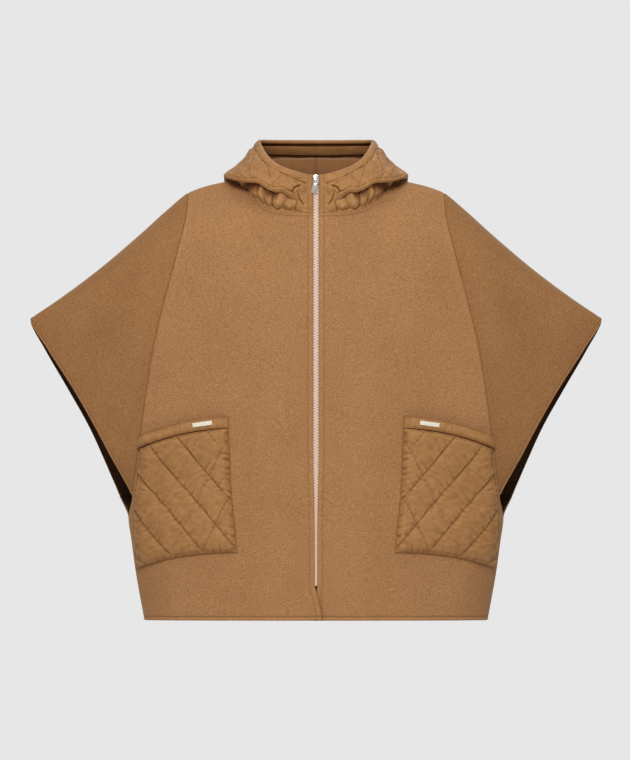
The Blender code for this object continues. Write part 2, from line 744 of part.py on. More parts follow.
def make_zip():
    line = front_line()
    top = HOOD["rim"][0][2]
    behind = WOOL + TAPE_GAP
    for side, sign in (("left", 1), ("right", -1)):
        ribbon("hood_facing_" + side, line, NECKLINE["height"][0] + 2 * SEAM, top,
               sign * FACING_IN, sign * FACING_OUT, 0.0, WOOL,
               NYLON_COLOUR, NYLON_ROUGHNESS)
        ribbon("zip_tape_" + side, line, ZIP_END, SLIDER_LOW - 0.001,
               sign * TAPE_IN, sign * TAPE_OUT, behind, behind + TAPE_WALL,
               (0.22, 0.11, 0.05), 0.8)
    ribbon("zip_teeth", line, ZIP_END + 0.001, SLIDER_LOW - SEAM, -TEETH_HALF, TEETH_HALF,
           0.0006, 0.0006 + TEETH_WALL, (0.80, 0.62, 0.52), 0.3, 1.0)
    make_slider(line)
    make_pull(line)


def extruded(name, outline, width, material):
    """An (y, z) outline drawn out along X to the given width."""
    loops = [[Vector((x, y, z)) for y, z in outline] for x in (-width / 2, width / 2)]
    return section_object(name, loops, material)


def pull_axis(line):
    return Vector((0.0, line_at(line, PULL_AXIS_Z) - 0.0030 - 0.00145, PULL_AXIS_Z))


def make_slider(line):
    """Front plate, post and back plate as one block, with the bail joined to it."""
    metal = finish("zip_slider", (0.62, 0.60, 0.57), 0.28, 1.0)
    middle = line_at(line, (SLIDER_TOP + SLIDER_LOW) / 2)
    loops = []
    for z, wide in ((SLIDER_LOW, 0.88), (SLIDER_LOW + 0.004, 1.0), (SLIDER_TOP - 0.002, 1.0),
                    (SLIDER_TOP, 0.8)):
        a, b = 0.0048 * wide, 0.0034 * wide
        corners = ((-a, -0.0030), (a, -0.0030), (a, 0.0008), (b, 0.0008), (b, 0.0042),
                   (-b, 0.0042), (-b, 0.0008), (-a, 0.0008))
        loops.append([Vector((x, middle + d, z)) for x, d in corners])
    slider = section_object("zip_slider", loops, metal)
    axis = pull_axis(line)
    root = middle - 0.0030 + 0.0008
    inner_y, outer_y = axis.y - 0.00145, axis.y - 0.00145 - 0.0012
    z_in, z_out = 0.0026, 0.0038
    arch = [(root, -z_out), (outer_y + 0.0008, -z_out), (outer_y, -z_out + 0.001),
            (outer_y, z_out - 0.001), (outer_y + 0.0008, z_out), (root, z_out),
            (root, z_in), (inner_y, z_in), (inner_y, -z_in), (root, -z_in)]
    outline = [(y, axis.z + z) for y, z in arch]
    bail = extruded("zip_bail_helper", outline, 0.0016, metal)
    bail.hide_render = True
    bail.hide_viewport = True
    bail.display_type = "WIRE"
    joined = slider.modifiers.new("Bail", "BOOLEAN")
    joined.operation = "UNION"
    joined.solver = "EXACT"
    joined.object = bail


def make_pull(line):
    """The pull tab: a flat tongue that hangs from the bail by its top bar."""
    material = finish("zip_pull", (0.66, 0.64, 0.61), 0.25, 1.0)
    outer = table(
        "half_width down",
        (0.0032, -0.0009), (0.0038, 0.0002), (0.0040, 0.0068), (0.0041, 0.0090),
        (PULL_WIDTH / 2, PULL_LENGTH - 0.0008), (PULL_WIDTH / 2 - 0.0008, PULL_LENGTH),
    )
    window = table(
        "half_width down",
        (0.0019, 0.0009), (0.0021, 0.0012), (0.0021, 0.0058), (0.0017, 0.0064),
        (0.0010, 0.0066), (0.0004, 0.0066),
    )
    points, faces = [], []
    for y in (-PULL_WALL / 2, PULL_WALL / 2):
        for shape in (outer, window):
            ring = list(zip(shape["half_width"], shape["down"]))
            ring += [(-x, d) for x, d in reversed(ring)]
            points += [Vector((x, y, -d)) for x, d in ring]
    count = len(points) // 4
    front_out, front_in, back_out, back_in = (k * count for k in range(4))
    for i in range(count):
        n = (i + 1) % count
        for a, b in ((front_out, front_in), (back_out, back_in), (front_out, back_out),
                     (front_in, back_in)):
            faces.append((a + i, a + n, b + n, b + i))
    pull = mesh_object("zip_pull", points, faces, material)
    turn = bpy.data.objects.new("pull_hinge", None)
    bpy.context.scene.collection.objects.link(turn)
    turn.location = pull_axis(line)
    turn.rotation_euler = (0.0, PULL_LEAN, 0.0)
    pull.parent = turn


# ---------------------------------------------------------------- pockets
def pocket_place(across, down):
    """The (x, z) place on the front of a point across and down the pocket."""
    inner = (POCKET_EDGE["inner_x"](down), POCKET_EDGE["inner_z"](down))
    outer = (POCKET_EDGE["outer_x"](down), POCKET_EDGE["outer_z"](down))
    bow = mix(*POCKET_BOW, down) * 4 * across * (1 - across)
    return mix(inner[0], outer[0], across), mix(inner[1], outer[1], across) + bow


def pocket_hollow(across, from_bottom):
    """Room between the pocket's inner side and the front."""
    width = POCKET_EDGE["outer_x"](0.5) - POCKET_EDGE["inner_x"](0.5)
    side = min(across, 1 - across) * width / POCKET_ROUND
    rise = math.sin(math.pi / 2 * min(side, 1.0)) * math.sin(math.pi / 2 * min(from_bottom, 1))
    seat = mix(*POCKET_SEAT, across)
    return seat + (POCKET_HOLLOW - seat) * rise


def make_pockets():
    outer, inner = [], []
    for j in range(POCKET_ROWS + 1):
        down = j / POCKET_ROWS
        outer_row, inner_row = [], []
        for i in range(POCKET_COLUMNS + 1):
            across = i / POCKET_COLUMNS
            x, z = pocket_place(across, down)
            stand = pocket_hollow(across, (1 - down) * POCKET_TALL / POCKET_ROUND)
            edge = min(i, j, POCKET_COLUMNS - i, POCKET_ROWS - j)
            x_mouth, z_mouth = pocket_place(0.0, 0.0)
            puff = quilting(x - x_mouth, z_mouth - z) * min(1.0, edge / 2)
            normal = outward("front", x, z)
            base = on_sheet("front", x, z)
            inner_row.append(base + normal * stand)
            outer_row.append(base + normal * (stand + NYLON + QUILT_RISE * puff))
        outer.append(outer_row)
        inner.append(inner_row)
    plain = every_second(inner)
    for_both_sides("pocket", outer, plain, NYLON_COLOUR, NYLON_ROUGHNESS, ratio=2)


def band_point(across, up, out):
    """A point of the pocket band: out runs from 0 inside to 1 outside."""
    x, z = pocket_place(across, 0.0)
    z += SEAM + up * BAND_DEPTH
    stand = pocket_hollow(across, 1.0)
    puff = math.sin(math.pi * mix(0.12, 0.93, up)) ** 0.6
    end = min(1.0, min(across, 1 - across) / 0.06)
    wall = NYLON + BAND_WALL * puff * (0.4 + 0.6 * end)
    return on_sheet("front", x, z, stand + wall * out), x, z


def make_bands():
    outer, inner = [], []
    for j in range(BAND_ROWS + 1):
        up = 1 - j / BAND_ROWS
        places = [i / BAND_COLUMNS for i in range(BAND_COLUMNS + 1)]
        outer.append([band_point(a, up, 1.0)[0] for a in places])
        inner.append([band_point(a, up, 0.0)[0] for a in places])
    for_both_sides("pocket_band", outer, inner, NYLON_COLOUR, NYLON_ROUGHNESS)


def make_plates():
    """A bare metal plate on each band, lying along it on its crest."""
    crest, x, z = band_point(PLATE_AT, 0.5, 1.0)
    along = (band_point(PLATE_AT + 0.05, 0.5, 1.0)[0] - band_point(PLATE_AT - 0.05, 0.5, 1.0)[0])
    along.normalize()
    out = outward("front", x, z)
    up = along.cross(out).normalized()
    up = -up if up.z < 0 else up
    out = along.cross(up).normalized()
    out = -out if out.y > 0 else out
    bevel = 0.0004
    base = crest + out * (SEAM + 0.0006)
    for side in ("left", "right"):
        loops = []
        for lift, cut in ((0.0, 0.0), (PLATE_WALL - bevel, 0.0), (PLATE_WALL, bevel)):
            a, b = PLATE_WIDTH / 2 - cut, PLATE_HEIGHT / 2 - cut
            corners = ((-a, -b), (a, -b), (a, b), (-a, b))
            loop = [base + along * u + up * v + out * lift for u, v in corners]
            loops.append([mirror_point(p) for p in loop] if side == "right" else loop)
        name = "pocket_plate_" + side
        section_object(name, loops, finish(name, (0.75, 0.66, 0.54), 0.3, 1.0))


def clear_scene():
    for obj in list(bpy.data.objects):
        bpy.data.objects.remove(obj, do_unlink=True)


clear_scene()
make_front("left")
make_front("right")
make_back()
make_sleeves("front")
make_sleeves("back")
make_hood()
make_zip()
make_pockets()
make_bands()
make_plates()
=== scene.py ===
"""The looks of the hooded poncho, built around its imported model.

Every sheet of cloth is worked out from the same surfaces as its solid, in metres, +Z up
and the front towards -Y: thin shells with their seams, turned edges, stitches, quilting
and folds. Left and right are the wearer's; the left pieces are mirrored to the right.
"""

import math

import bmesh
import bpy
import numpy as np
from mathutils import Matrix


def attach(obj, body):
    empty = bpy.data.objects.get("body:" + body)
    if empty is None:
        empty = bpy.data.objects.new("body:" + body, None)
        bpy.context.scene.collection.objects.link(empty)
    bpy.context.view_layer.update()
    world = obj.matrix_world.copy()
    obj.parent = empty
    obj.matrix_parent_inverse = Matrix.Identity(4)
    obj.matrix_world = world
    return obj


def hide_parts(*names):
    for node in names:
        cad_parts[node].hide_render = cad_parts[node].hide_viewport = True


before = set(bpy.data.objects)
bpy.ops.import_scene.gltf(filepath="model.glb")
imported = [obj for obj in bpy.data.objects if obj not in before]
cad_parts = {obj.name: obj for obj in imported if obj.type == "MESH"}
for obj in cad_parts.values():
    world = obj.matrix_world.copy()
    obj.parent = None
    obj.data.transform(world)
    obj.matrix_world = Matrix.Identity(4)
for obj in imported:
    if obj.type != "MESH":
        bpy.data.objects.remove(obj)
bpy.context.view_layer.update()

# ---- sizes, as in the solids where nothing else is said ----
WOOL = 0.0020
SEAM = 0.0003
NYLON = 0.0026
LINING = 0.0008
QUILT_RISE = 0.0030

HEM = -0.7315
SHOULDER_X, SHOULDER_Z = 0.2170, -0.0045
TIP_X, TIP_Z = 0.4865, -0.2185
TIP_LOW_Z = -0.2260
CUFF_CORNER_Z = -0.5210
ARMHOLE_Z = -0.5560


def table(names, *rows):
    """The rows as one list for each named column."""
    return dict(zip(names.split(), map(list, zip(*rows))))


# the shoulder and overarm line, and how far below it the cloth is rounded over
TOP_LINE = table(
    "across height fold",
    (0.0000, 0.0570, 0.085),
    (0.0600, 0.0428, 0.085),
    (0.1000, 0.0302, 0.085),
    (0.1185, 0.0245, 0.085),
    (0.1550, 0.0145, 0.085),
    (0.1850, 0.0075, 0.085),
    (SHOULDER_X, SHOULDER_Z, 0.085),
    (0.2480, -0.0290, 0.073),
    (0.2990, -0.0750, 0.058),
    (0.3670, -0.1330, 0.039),
    (0.4350, -0.1840, 0.020),
    (TIP_X, TIP_Z, 0.006),
)
# at each height: how far the cloth stands out in the middle and at its side edge, how far
# it reaches across, and the two powers that shape it in between
SECTIONS = table(
    "height front back edge_front edge_back reach_front reach_back square close",
    (0.080, 0.030, 0.036, 0.009, 0.009, 0.500, 0.500, 1.7, 1.00),
    (0.030, 0.046, 0.050, 0.009, 0.009, 0.500, 0.500, 1.7, 1.00),
    (0.000, 0.062, 0.066, 0.009, 0.009, 0.500, 0.500, 1.7, 1.00),
    (-0.040, 0.086, 0.082, 0.009, 0.009, 0.500, 0.500, 1.7, 1.00),
    (-0.100, 0.106, 0.096, 0.009, 0.009, 0.498, 0.498, 1.7, 1.00),
    (TIP_Z, 0.117, 0.102, 0.009, 0.009, 0.487, 0.4875, 1.8, 1.00),
    (-0.272, 0.118, 0.102, 0.013, 0.017, 0.4565, 0.4613, 1.9, 1.00),
    (-0.340, 0.118, 0.101, 0.019, 0.027, 0.4125, 0.4216, 2.0, 1.00),
    (-0.408, 0.118, 0.101, 0.027, 0.037, 0.3740, 0.3842, 2.1, 1.00),
    (-0.459, 0.119, 0.101, 0.034, 0.045, 0.3468, 0.3610, 2.2, 1.00),
    (CUFF_CORNER_Z, 0.120, 0.102, 0.034, 0.047, 0.3130, 0.3350, 2.4, 0.80),
    (ARMHOLE_Z, 0.120, 0.103, 0.000, 0.000, 0.3196, 0.3196, 2.5, 0.50),
    (-0.595, 0.121, 0.104, 0.000, 0.000, 0.3145, 0.3145, 2.6, 0.50),
    (-0.646, 0.121, 0.105, 0.000, 0.000, 0.3077, 0.3077, 2.6, 0.50),
    (HEM, 0.122, 0.107, 0.000, 0.000, 0.2924, 0.2924, 2.6, 0.50),
)
# how far across the long seam is
BODY_SEAM = table(
    "height front back",
    (SHOULDER_Z, SHOULDER_X, SHOULDER_X),
    (-0.040, 0.2200, 0.2200),
    (-0.083, 0.2295, 0.2295),
    (-0.180, 0.2550, 0.2550),
    (-0.265, 0.2754, 0.2760),
    (-0.347, 0.2890, 0.2920),
    (-0.4165, 0.2980, 0.3050),
    (CUFF_CORNER_Z, 0.3130, 0.3350),
)
# stations run from the zip, 0, over the shoulder, 1, to the middle of the back, 2
NECKLINE = table(
    "station across height",
    (0.0, 0.0145, -0.0380),
    (0.2, 0.0500, -0.0365),
    (0.4, 0.0800, -0.0310),
    (0.6, 0.1020, -0.0180),
    (0.8, 0.1150, 0.0000),
    (1.0, 0.1185, 0.0225),
    (1.2, 0.1120, 0.0205),
    (1.4, 0.0970, 0.0185),
    (1.6, 0.0700, 0.0155),
    (1.8, 0.0360, 0.0130),
    (2.0, 0.0000, 0.0120),
)
# the points that a section of the hood runs through, from the neckline up to its rim
HOOD = table(
    "station roll fold side rim",
    (0.0, (0.0145, -0.0856, -0.0290), (0.0145, -0.0868, -0.0120),
     (0.0145, -0.0867, 0.0060), (0.0145, -0.0862, 0.0262)),
    (0.2, (0.0500, -0.0910, -0.0240), (0.0500, -0.1005, -0.0070),
     (0.0455, -0.0935, 0.0160), (0.0400, -0.0815, 0.0335)),
    (0.4, (0.0830, -0.0860, -0.0160), (0.0850, -0.0985, 0.0045),
     (0.0780, -0.0840, 0.0270), (0.0660, -0.0640, 0.0440)),
    (0.6, (0.1080, -0.0700, 0.0020), (0.1150, -0.0830, 0.0135),
     (0.1040, -0.0640, 0.0370), (0.0820, -0.0420, 0.0590)),
    (0.8, (0.1230, -0.0410, 0.0110), (0.1420, -0.0520, 0.0180),
     (0.1240, -0.0390, 0.0370), (0.0905, -0.0140, 0.0730)),
    (1.0, (0.1235, -0.0005, 0.0315), (0.1545, -0.0080, 0.0225),
     (0.1295, 0.0050, 0.0430), (0.0948, 0.0160, 0.0820)),
    (1.2, (0.1150, 0.0210, 0.0370), (0.1510, 0.0380, 0.0115),
     (0.1275, 0.0470, 0.0430), (0.0958, 0.0450, 0.0860)),
    (1.4, (0.1000, 0.0420, 0.0470), (0.1390, 0.0780, -0.0200),
     (0.1190, 0.0870, 0.0370), (0.0905, 0.0720, 0.0862)),
    (1.6, (0.0760, 0.0590, 0.0560), (0.1100, 0.1060, -0.0660),
     (0.0980, 0.1160, 0.0280), (0.0700, 0.0950, 0.0862)),
    (1.8, (0.0400, 0.0680, 0.0580), (0.0620, 0.1200, -0.1000),
     (0.0550, 0.1370, 0.0200), (0.0370, 0.1080, 0.0862)),
    (2.0, (0.0000, 0.0710, 0.0580), (0.0000, 0.1250, -0.1120),
     (0.0000, 0.1450, 0.0160), (0.0000, 0.1120, 0.0862)),
)
# how widely a section is rounded at its roll and its fold; in front the solids' fold is rounder
BENDS = table(
    "station roll fold",
    (0.0, 0.0040, 0.0040),
    (0.6, 0.0050, 0.0040),
    (0.8, 0.0070, 0.0036),
    (1.2, 0.0140, 0.0050),
    (1.5, 0.0190, 0.0170),
    (2.0, 0.0240, 0.0240),
)
ROLL_REACH = 0.0600
FOLD_REACH = (0.0090, 0.0600)  # the same above the fold: crisp in front, round at the back
FOLD_SPAN = 5
HIDDEN_FROM, FRONT_FADE = 0.75, 0.35  # the stations where what is special to the front fades out
RIM, RIM_WALL = 0.0150, 0.0052
RIM_GAP = -0.0004  # the hood's wall runs on a little inside the band, and the solid one stops short
NECK_GAP = -0.0009  # the hood is tucked under the wool's edge, and the solid one stops short of it

ZIP_EDGE, ZIP_END = 0.0046, -0.6730
OVERLAP, OVERLAP_LIFT = 0.0090, 0.0030
FACING_IN, FACING_OUT = 0.0052, 0.0150  # a little wider than the solid strips
TAPE_IN, TAPE_OUT, TAPE_WALL, TAPE_GAP = 0.0038, 0.0140, 0.0008, 0.0008
TEETH_HALF = 0.0046  # the teeth that show, which are wider than the solid bar
SLIDER_LOW = 0.0105
ZIP_OPEN, ZIP_EDGE_LOW = 0.0049, 0.0022  # half the gap between the fronts, high and low
TAPER_FROM, TAPER_OVER = -0.400, 0.200  # where that gap starts to close, and over what height
LAP_FROM, LAP_OVER = -0.6720, 0.0460  # where one front starts to lap over the other
CUFF_STRAIGHT_Z = -0.4420  # below it the front edge of the sleeve's opening is straight

# the inner and outer edge of a pocket, from its mouth, 0, down to its bottom, 1
POCKET = table(
    "down inner_x inner_z outer_x outer_z",
    (0.0, 0.1480, -0.4040, 0.2978, -0.4390),
    (0.5, 0.1430, -0.5130, 0.3065, -0.5320),
    (1.0, 0.1330, -0.6170, 0.3040, -0.6430),
)
POCKET_TALL = 0.2350
POCKET_BOW = (0.0080, 0.0080)
POCKET_HOLLOW, POCKET_ROUND, POCKET_SEAT = 0.0115, 0.0230, (0.0005, 0.0016)
BAND_DEPTH, BAND_WALL = 0.0190, 0.0046
QUILT_PITCH_A, QUILT_SLOPE_A, QUILT_START_A = 0.0580, 0.82, 0.0380
QUILT_PITCH_B, QUILT_SLOPE_B, QUILT_START_B = 0.0490, -0.475, -0.0090

# ---- looks ----
EDGE_STEPS = np.array([0.0, 0.0005, 0.0011, 0.0019, 0.0028, 0.0040, 0.0052, 0.0060, 0.0068,
                       0.0080, 0.0092, 0.0110, 0.0140])  # close rows and columns at an edge
CLOTH_STEP = 0.0052  # between the rows and columns of the wool elsewhere
STITCH, STITCH_GAP = 0.0030, 0.0012
STITCH_RADIUS, STITCH_SUNK = 0.00034, 0.0001
NECK_SHARE = 0.52  # the share of a body piece's columns that end at the neckline
NEAR_SHARE = 0.05  # the share of them that are beside its inner edge
NEAR_X, NEAR_STATION = 0.050, 0.2  # up to this x those follow the neckline up to this station
EVEN_FROM = 0.35  # how far down, as a share of the height, the columns are evenly spaced
BODY_ACROSS, SLEEVE_ACROSS = 0.292, 0.300  # the widths that set how many columns there are
MAIN_BODY, PULL_BODY = "garment", "zip_pull"


# ---------------------------------------------------------------- curves
def smooth(places, values):
    """A smooth curve through the values that never swings past them, for arrays."""
    order = np.argsort(places)
    at, val = np.array(places, float)[order], np.array(values, float)[order]
    gaps = np.diff(at)
    slopes = np.diff(val) / gaps
    low, high = slopes[:-1], slopes[1:]
    total = np.where(low * high > 0, low + high, 1.0)
    inner = np.where(low * high > 0, 2 * low * high / total, 0.0)
    tangents = np.concatenate([slopes[:1], inner, slopes[-1:]])

    def value(x):
        x = np.clip(x, at[0], at[-1])
        i = np.clip(np.searchsorted(at, x, side="right") - 1, 0, len(gaps) - 1)
        t = (x - at[i]) / gaps[i]
        rise = t * t * (3 - 2 * t)
        start = t * (1 - t) ** 2 * gaps[i] * tangents[i]
        end = t * t * (t - 1) * gaps[i] * tangents[i + 1]
        return val[i] + (val[i + 1] - val[i]) * rise + start + end

    return value


def curves_of(rows, key):
    return {n: smooth(rows[key], rows[n]) for n in rows if n != key}


def mix(a, b, t):
    return a + (b - a) * t


def ease(t):
    t = np.clip(t, 0.0, 1.0)
    return t * t * (3 - 2 * t)


def hump(d, at, width):
    """1 on the line at, falling to 0 a few widths away."""
    return np.exp(-(((d - at) / width) ** 2))


NOISE_CELLS = 64


def noise(u, v, seed):
    """Smooth noise from -1 to 1, one cell a unit of u and v, always the same for one seed."""
    values = np.random.default_rng(seed).uniform(-1, 1, (NOISE_CELLS, NOISE_CELLS))
    u, v = np.broadcast_arrays(u, v)
    i, j = np.floor(u).astype(int), np.floor(v).astype(int)
    a, b = ease(u - i), ease(v - j)

    def at(p, q):
        return values[p % NOISE_CELLS, q % NOISE_CELLS]

    return mix(mix(at(i, j), at(i + 1, j), a), mix(at(i, j + 1), at(i + 1, j + 1), a), b)


def blurred(field, cells):
    """The field averaged over a square of its grid, done twice for a soft edge."""
    for _ in range(2):
        for axis in (0, 1):
            pad = [(cells + 1, cells) if k == axis else (0, 0) for k in (0, 1)]
            total = np.cumsum(np.pad(field, pad, mode="edge"), axis=axis)
            high = np.take(total, range(2 * cells + 1, total.shape[axis]), axis=axis)
            low = np.take(total, range(0, total.shape[axis] - 2 * cells - 1), axis=axis)
            field = (high - low) / (2 * cells + 1)
    return field


def cavity(lift, cells, strength):
    """The painted shade of a relief: below 1 in its deep places, and a little above 1, a painted
    highlight, on its crests.
    """
    proud = (lift - blurred(lift, cells)) * strength
    return (1 + np.clip(0.5 * proud, 0.0, 0.13)) / (1 + np.maximum(-proud, 0.0))


def unit(v):
    length = np.linalg.norm(v, axis=-1, keepdims=True)
    return v / np.maximum(length, 1e-12)


TOP = curves_of(TOP_LINE, "across")
SECTION = curves_of(SECTIONS, "height")
LONG_SEAM = curves_of(BODY_SEAM, "height")
NECK = curves_of(NECKLINE, "station")
BEND = curves_of(BENDS, "station")
POCKET_EDGE = curves_of(POCKET, "down")
FACE_SIGN = {"front": -1.0, "back": 1.0}


# ---------------------------------------------------------------- the two sheets
def depth(face, x, z):
    """How far the outer side of the front or back stands from the plane y = 0."""
    edge = SECTION["edge_" + face](z)
    across = np.minimum(np.abs(x) / SECTION["reach_" + face](z), 1.0)
    bulge = (1 - across ** SECTION["square"](z)) ** SECTION["close"](z)
    full = mix(edge, SECTION[face](z), bulge)
    below = np.maximum(TOP["height"](np.abs(x)) - z, 0.0) / TOP["fold"](np.abs(x))
    return full * np.sqrt(1 - (1 - np.minimum(below, 1.0)) ** 2)


def outward(face, x, z):
    """The outward normal of the sheet at (x, z); level along a closed side or ridge."""
    step, inset = 2e-6, 2e-5
    side = np.where(x >= 0, 1.0, -1.0)
    at_x = side * np.minimum(np.abs(x), SECTION["reach_" + face](z) - inset)
    at_z = np.minimum(z, TOP["height"](np.abs(at_x)) - inset)
    slope_x = (depth(face, at_x + step, at_z) - depth(face, at_x - step, at_z)) / (2 * step)
    slope_z = (depth(face, at_x, at_z + step) - depth(face, at_x, at_z - step)) / (2 * step)
    y = np.where(depth(face, x, z) < SEAM, 0.0, FACE_SIGN[face])
    return unit(np.stack([-slope_x, y, -slope_z], axis=-1))


def on_sheet(face, x, z):
    away = np.maximum(depth(face, x, z), SEAM / 2)
    return np.stack([x, FACE_SIGN[face] * away, z], axis=-1)


def spread(length, step, edges=EDGE_STEPS):
    """Places from 0 to 1 along a length: even, but close together at both ends."""
    middle = np.linspace(edges[-1], length - edges[-1],
                         max(int((length - 2 * edges[-1]) / step), 2) + 1)
    return np.concatenate([edges[:-1], middle, length - edges[-2::-1]]) / length


def outer_edge(face, z):
    seam = LONG_SEAM[face](np.maximum(z, CUFF_CORNER_Z))
    return np.where(z > CUFF_CORNER_Z, seam, SECTION["reach_" + face](z))


def zip_edge(z):
    """Half the gap between the fronts, which close up over the teeth lower down."""
    return mix(ZIP_OPEN, ZIP_EDGE_LOW, ease((TAPER_FROM - z) / TAPER_OVER))


def lapping(z):
    """0 along the zip, rising to 1 near the hem, where one front laps over the other."""
    return np.clip((LAP_FROM - z) / LAP_OVER, 0.0, 1.0)


def lap_edge(z):
    """Where the lapping front's edge is: its distance from the middle, on its own side."""
    return mix(zip_edge(z), -OVERLAP, lapping(z))


def body_grid(face, inner_edge):
    """(x, z) places of half a body piece: rows down, columns from centre to side."""
    down = spread(SHOULDER_Z - HEM, CLOTH_STEP)
    corner = (SHOULDER_Z - CUFF_CORNER_Z) / (SHOULDER_Z - HEM)
    down[np.argmin(np.abs(down - corner))] = corner
    out = spread(BODY_ACROSS, CLOTH_STEP)
    start, end = (0.0, 1.0) if face == "front" else (2.0, 1.0)
    station = mix(start, end, np.minimum(out / NECK_SHARE, 1.0))
    shoulder = np.clip((out - NECK_SHARE) / (1 - NECK_SHARE), 0.0, 1.0)
    x_top = np.where(out < NECK_SHARE, NECK["across"](station),
                     mix(NECK["across"](1.0), SHOULDER_X, shoulder))
    z_top = np.where(out < NECK_SHARE, NECK["height"](station), TOP["height"](x_top))
    edge_top = inner_edge(np.array(z_top[0]))
    near = out < NEAR_SHARE
    x_top = np.where(near, mix(edge_top, x_top[~near][0], out / out[~near][0]), x_top)
    near_x, near_stations = [NECK["across"](start), NEAR_X], [start, mix(start, end, NEAR_STATION)]
    z_near = NECK["height"](np.interp(x_top, near_x, near_stations))
    z_top = np.where(near, z_near, z_top)
    z_side = mix(SHOULDER_Z, HEM, down)[:, None]
    z = mix(z_top[None, :], HEM, down[:, None])
    share = (x_top - x_top[0]) / (SHOULDER_X - x_top[0])
    share = mix(share[None, :], out[None, :], ease(down / EVEN_FROM)[:, None])
    return mix(inner_edge(z), outer_edge(face, z_side), share), z


def cuff_reach(face, z):
    """How far out a sleeve's open end is; the front one runs straight to its low corner."""
    reach = SECTION["reach_" + face](z)
    if face == "back":
        return reach
    ends = np.array([CUFF_CORNER_Z, CUFF_STRAIGHT_Z])
    straight = np.interp(z, ends, SECTION["reach_front"](ends))
    return np.where(z < CUFF_STRAIGHT_Z, np.maximum(straight, reach), reach)


def sleeve_grid(face):
    """(x, z) places of a sleeve piece: rows overarm to cuff, columns seam to tip."""
    seam = LONG_SEAM[face]
    down = spread(SHOULDER_Z - CUFF_CORNER_Z, CLOTH_STEP)[:, None]
    out = spread(SLEEVE_ACROSS, CLOTH_STEP)[None, :]
    z_seam = mix(SHOULDER_Z, CUFF_CORNER_Z, down)
    lean = (seam(z_seam) - SHOULDER_X) / (seam(CUFF_CORNER_Z) - SHOULDER_X)
    x_top = mix(SHOULDER_X, TIP_X, out)
    z_low = mix(CUFF_CORNER_Z, TIP_LOW_Z, out)
    x = mix(x_top, cuff_reach(face, z_low), lean)
    z = mix(TOP["height"](x_top), z_low, down)
    return x, np.minimum(z, TOP["height"](x))


# ---------------------------------------------------------------- meshes
def reaches(grid):
    """How far each grid point is from the four edges, along the cloth."""
    across = np.linalg.norm(np.diff(grid, axis=1), axis=2)
    down = np.linalg.norm(np.diff(grid, axis=0), axis=2)
    first = np.concatenate([np.zeros((len(grid), 1)), np.cumsum(across, axis=1)], axis=1)
    top = np.concatenate([np.zeros((1, grid.shape[1])), np.cumsum(down, axis=0)], axis=0)
    return {"first": first, "last": first[:, -1:] - first, "top": top, "low": top[-1:] - top}


def grid_normals(grid):
    """Normals of a grid of points, from its own neighbours."""
    down = np.gradient(grid, axis=0)
    across = np.gradient(grid, axis=1)
    return unit(np.cross(across, down))


def quads(rows, columns, start, reverse):
    ids = start + np.arange(rows * columns).reshape(rows, columns)
    faces = np.stack([ids[:-1, :-1], ids[:-1, 1:], ids[1:, 1:], ids[1:, :-1]], axis=-1)
    faces = faces.reshape(-1, 4)
    return faces[:, ::-1] if reverse else faces


def wall(name, outer, inner, materials, shade, inner_shade=1.0):
    """A closed cloth wall between two grids of one size, with its edges between them.

    shade is 1 where the outer side has its plain colour, below 1 where shade is painted into it and
    above 1 where light is painted on it."""
    rows, columns = outer.shape[:2]
    count = rows * columns
    points = np.concatenate([outer.reshape(-1, 3), inner.reshape(-1, 3)])
    faces = [quads(rows, columns, 0, False), quads(rows, columns, count, True)]
    ids = np.arange(count).reshape(rows, columns)
    rim = np.concatenate([ids[0], ids[1:, -1], ids[-1, -2::-1], ids[-2:0:-1, 0]])
    following = np.roll(rim, -1)
    faces.append(np.stack([following, rim, rim + count, following + count], axis=-1))
    obj = mesh_object(name, points, np.concatenate(faces), materials)
    if len(materials) > 1:
        inside = np.zeros(len(obj.data.polygons), np.int32)
        half = (rows - 1) * (columns - 1)
        inside[half : 2 * half] = 1
        obj.data.polygons.foreach_set("material_index", inside)
    inner_values = np.broadcast_to(inner_shade, shade.shape).reshape(-1)
    values = np.concatenate([shade.reshape(-1), inner_values])
    shading = obj.data.attributes.new("shade", "FLOAT", "POINT")
    shading.data.foreach_set("value", values.astype(np.float32))
    return obj


def into_scene(obj):
    bpy.context.scene.collection.objects.link(obj)


def mesh_object(name, points, faces, materials, smooth_angle=50):
    mesh = bpy.data.meshes.new(name)
    faces = faces.tolist() if isinstance(faces, np.ndarray) else faces
    mesh.from_pydata(np.asarray(points).tolist(), [], faces)
    shape = bmesh.new()
    shape.from_mesh(mesh)
    bmesh.ops.recalc_face_normals(shape, faces=shape.faces)
    shape.to_mesh(mesh)
    shape.free()
    mesh.shade_smooth()
    mesh.set_sharp_from_angle(angle=math.radians(smooth_angle))
    for material in materials:
        mesh.materials.append(material)
    obj = bpy.data.objects.new(name, mesh)
    into_scene(obj)
    return obj


def mirror(obj, name):
    """A mirrored copy of a piece for the other side."""
    copy = obj.copy()
    copy.data = obj.data.copy()
    copy.name = copy.data.name = name
    into_scene(copy)
    shape = bmesh.new()
    shape.from_mesh(copy.data)
    for vert in shape.verts:
        vert.co.x = -vert.co.x
    bmesh.ops.reverse_faces(shape, faces=shape.faces)
    shape.to_mesh(copy.data)
    shape.free()
    return copy


def point_at(path, along, at):
    """The point of a path that is a distance along it."""
    return [np.interp(at, along, path[:, k]) for k in range(3)]


def line_on(grid, normals, reach, at):
    """The points and normals where the cloth is a distance from one of its edges.

    reach has one line of growing distances along axis 1."""
    points, ups = [], []
    for row, normal, far in zip(grid, normals, reach):
        points.append(point_at(row, far, at))
        ups.append(point_at(normal, far, at))
    return np.array(points), unit(np.array(ups))


def low_line(grid, normals, reach, at):
    """The points and normals at a distance above the lower edge of a piece."""
    across, ups = grid.transpose(1, 0, 2), normals.transpose(1, 0, 2)
    return line_on(across[:, ::-1], ups[:, ::-1], reach["low"].T[:, ::-1], at)


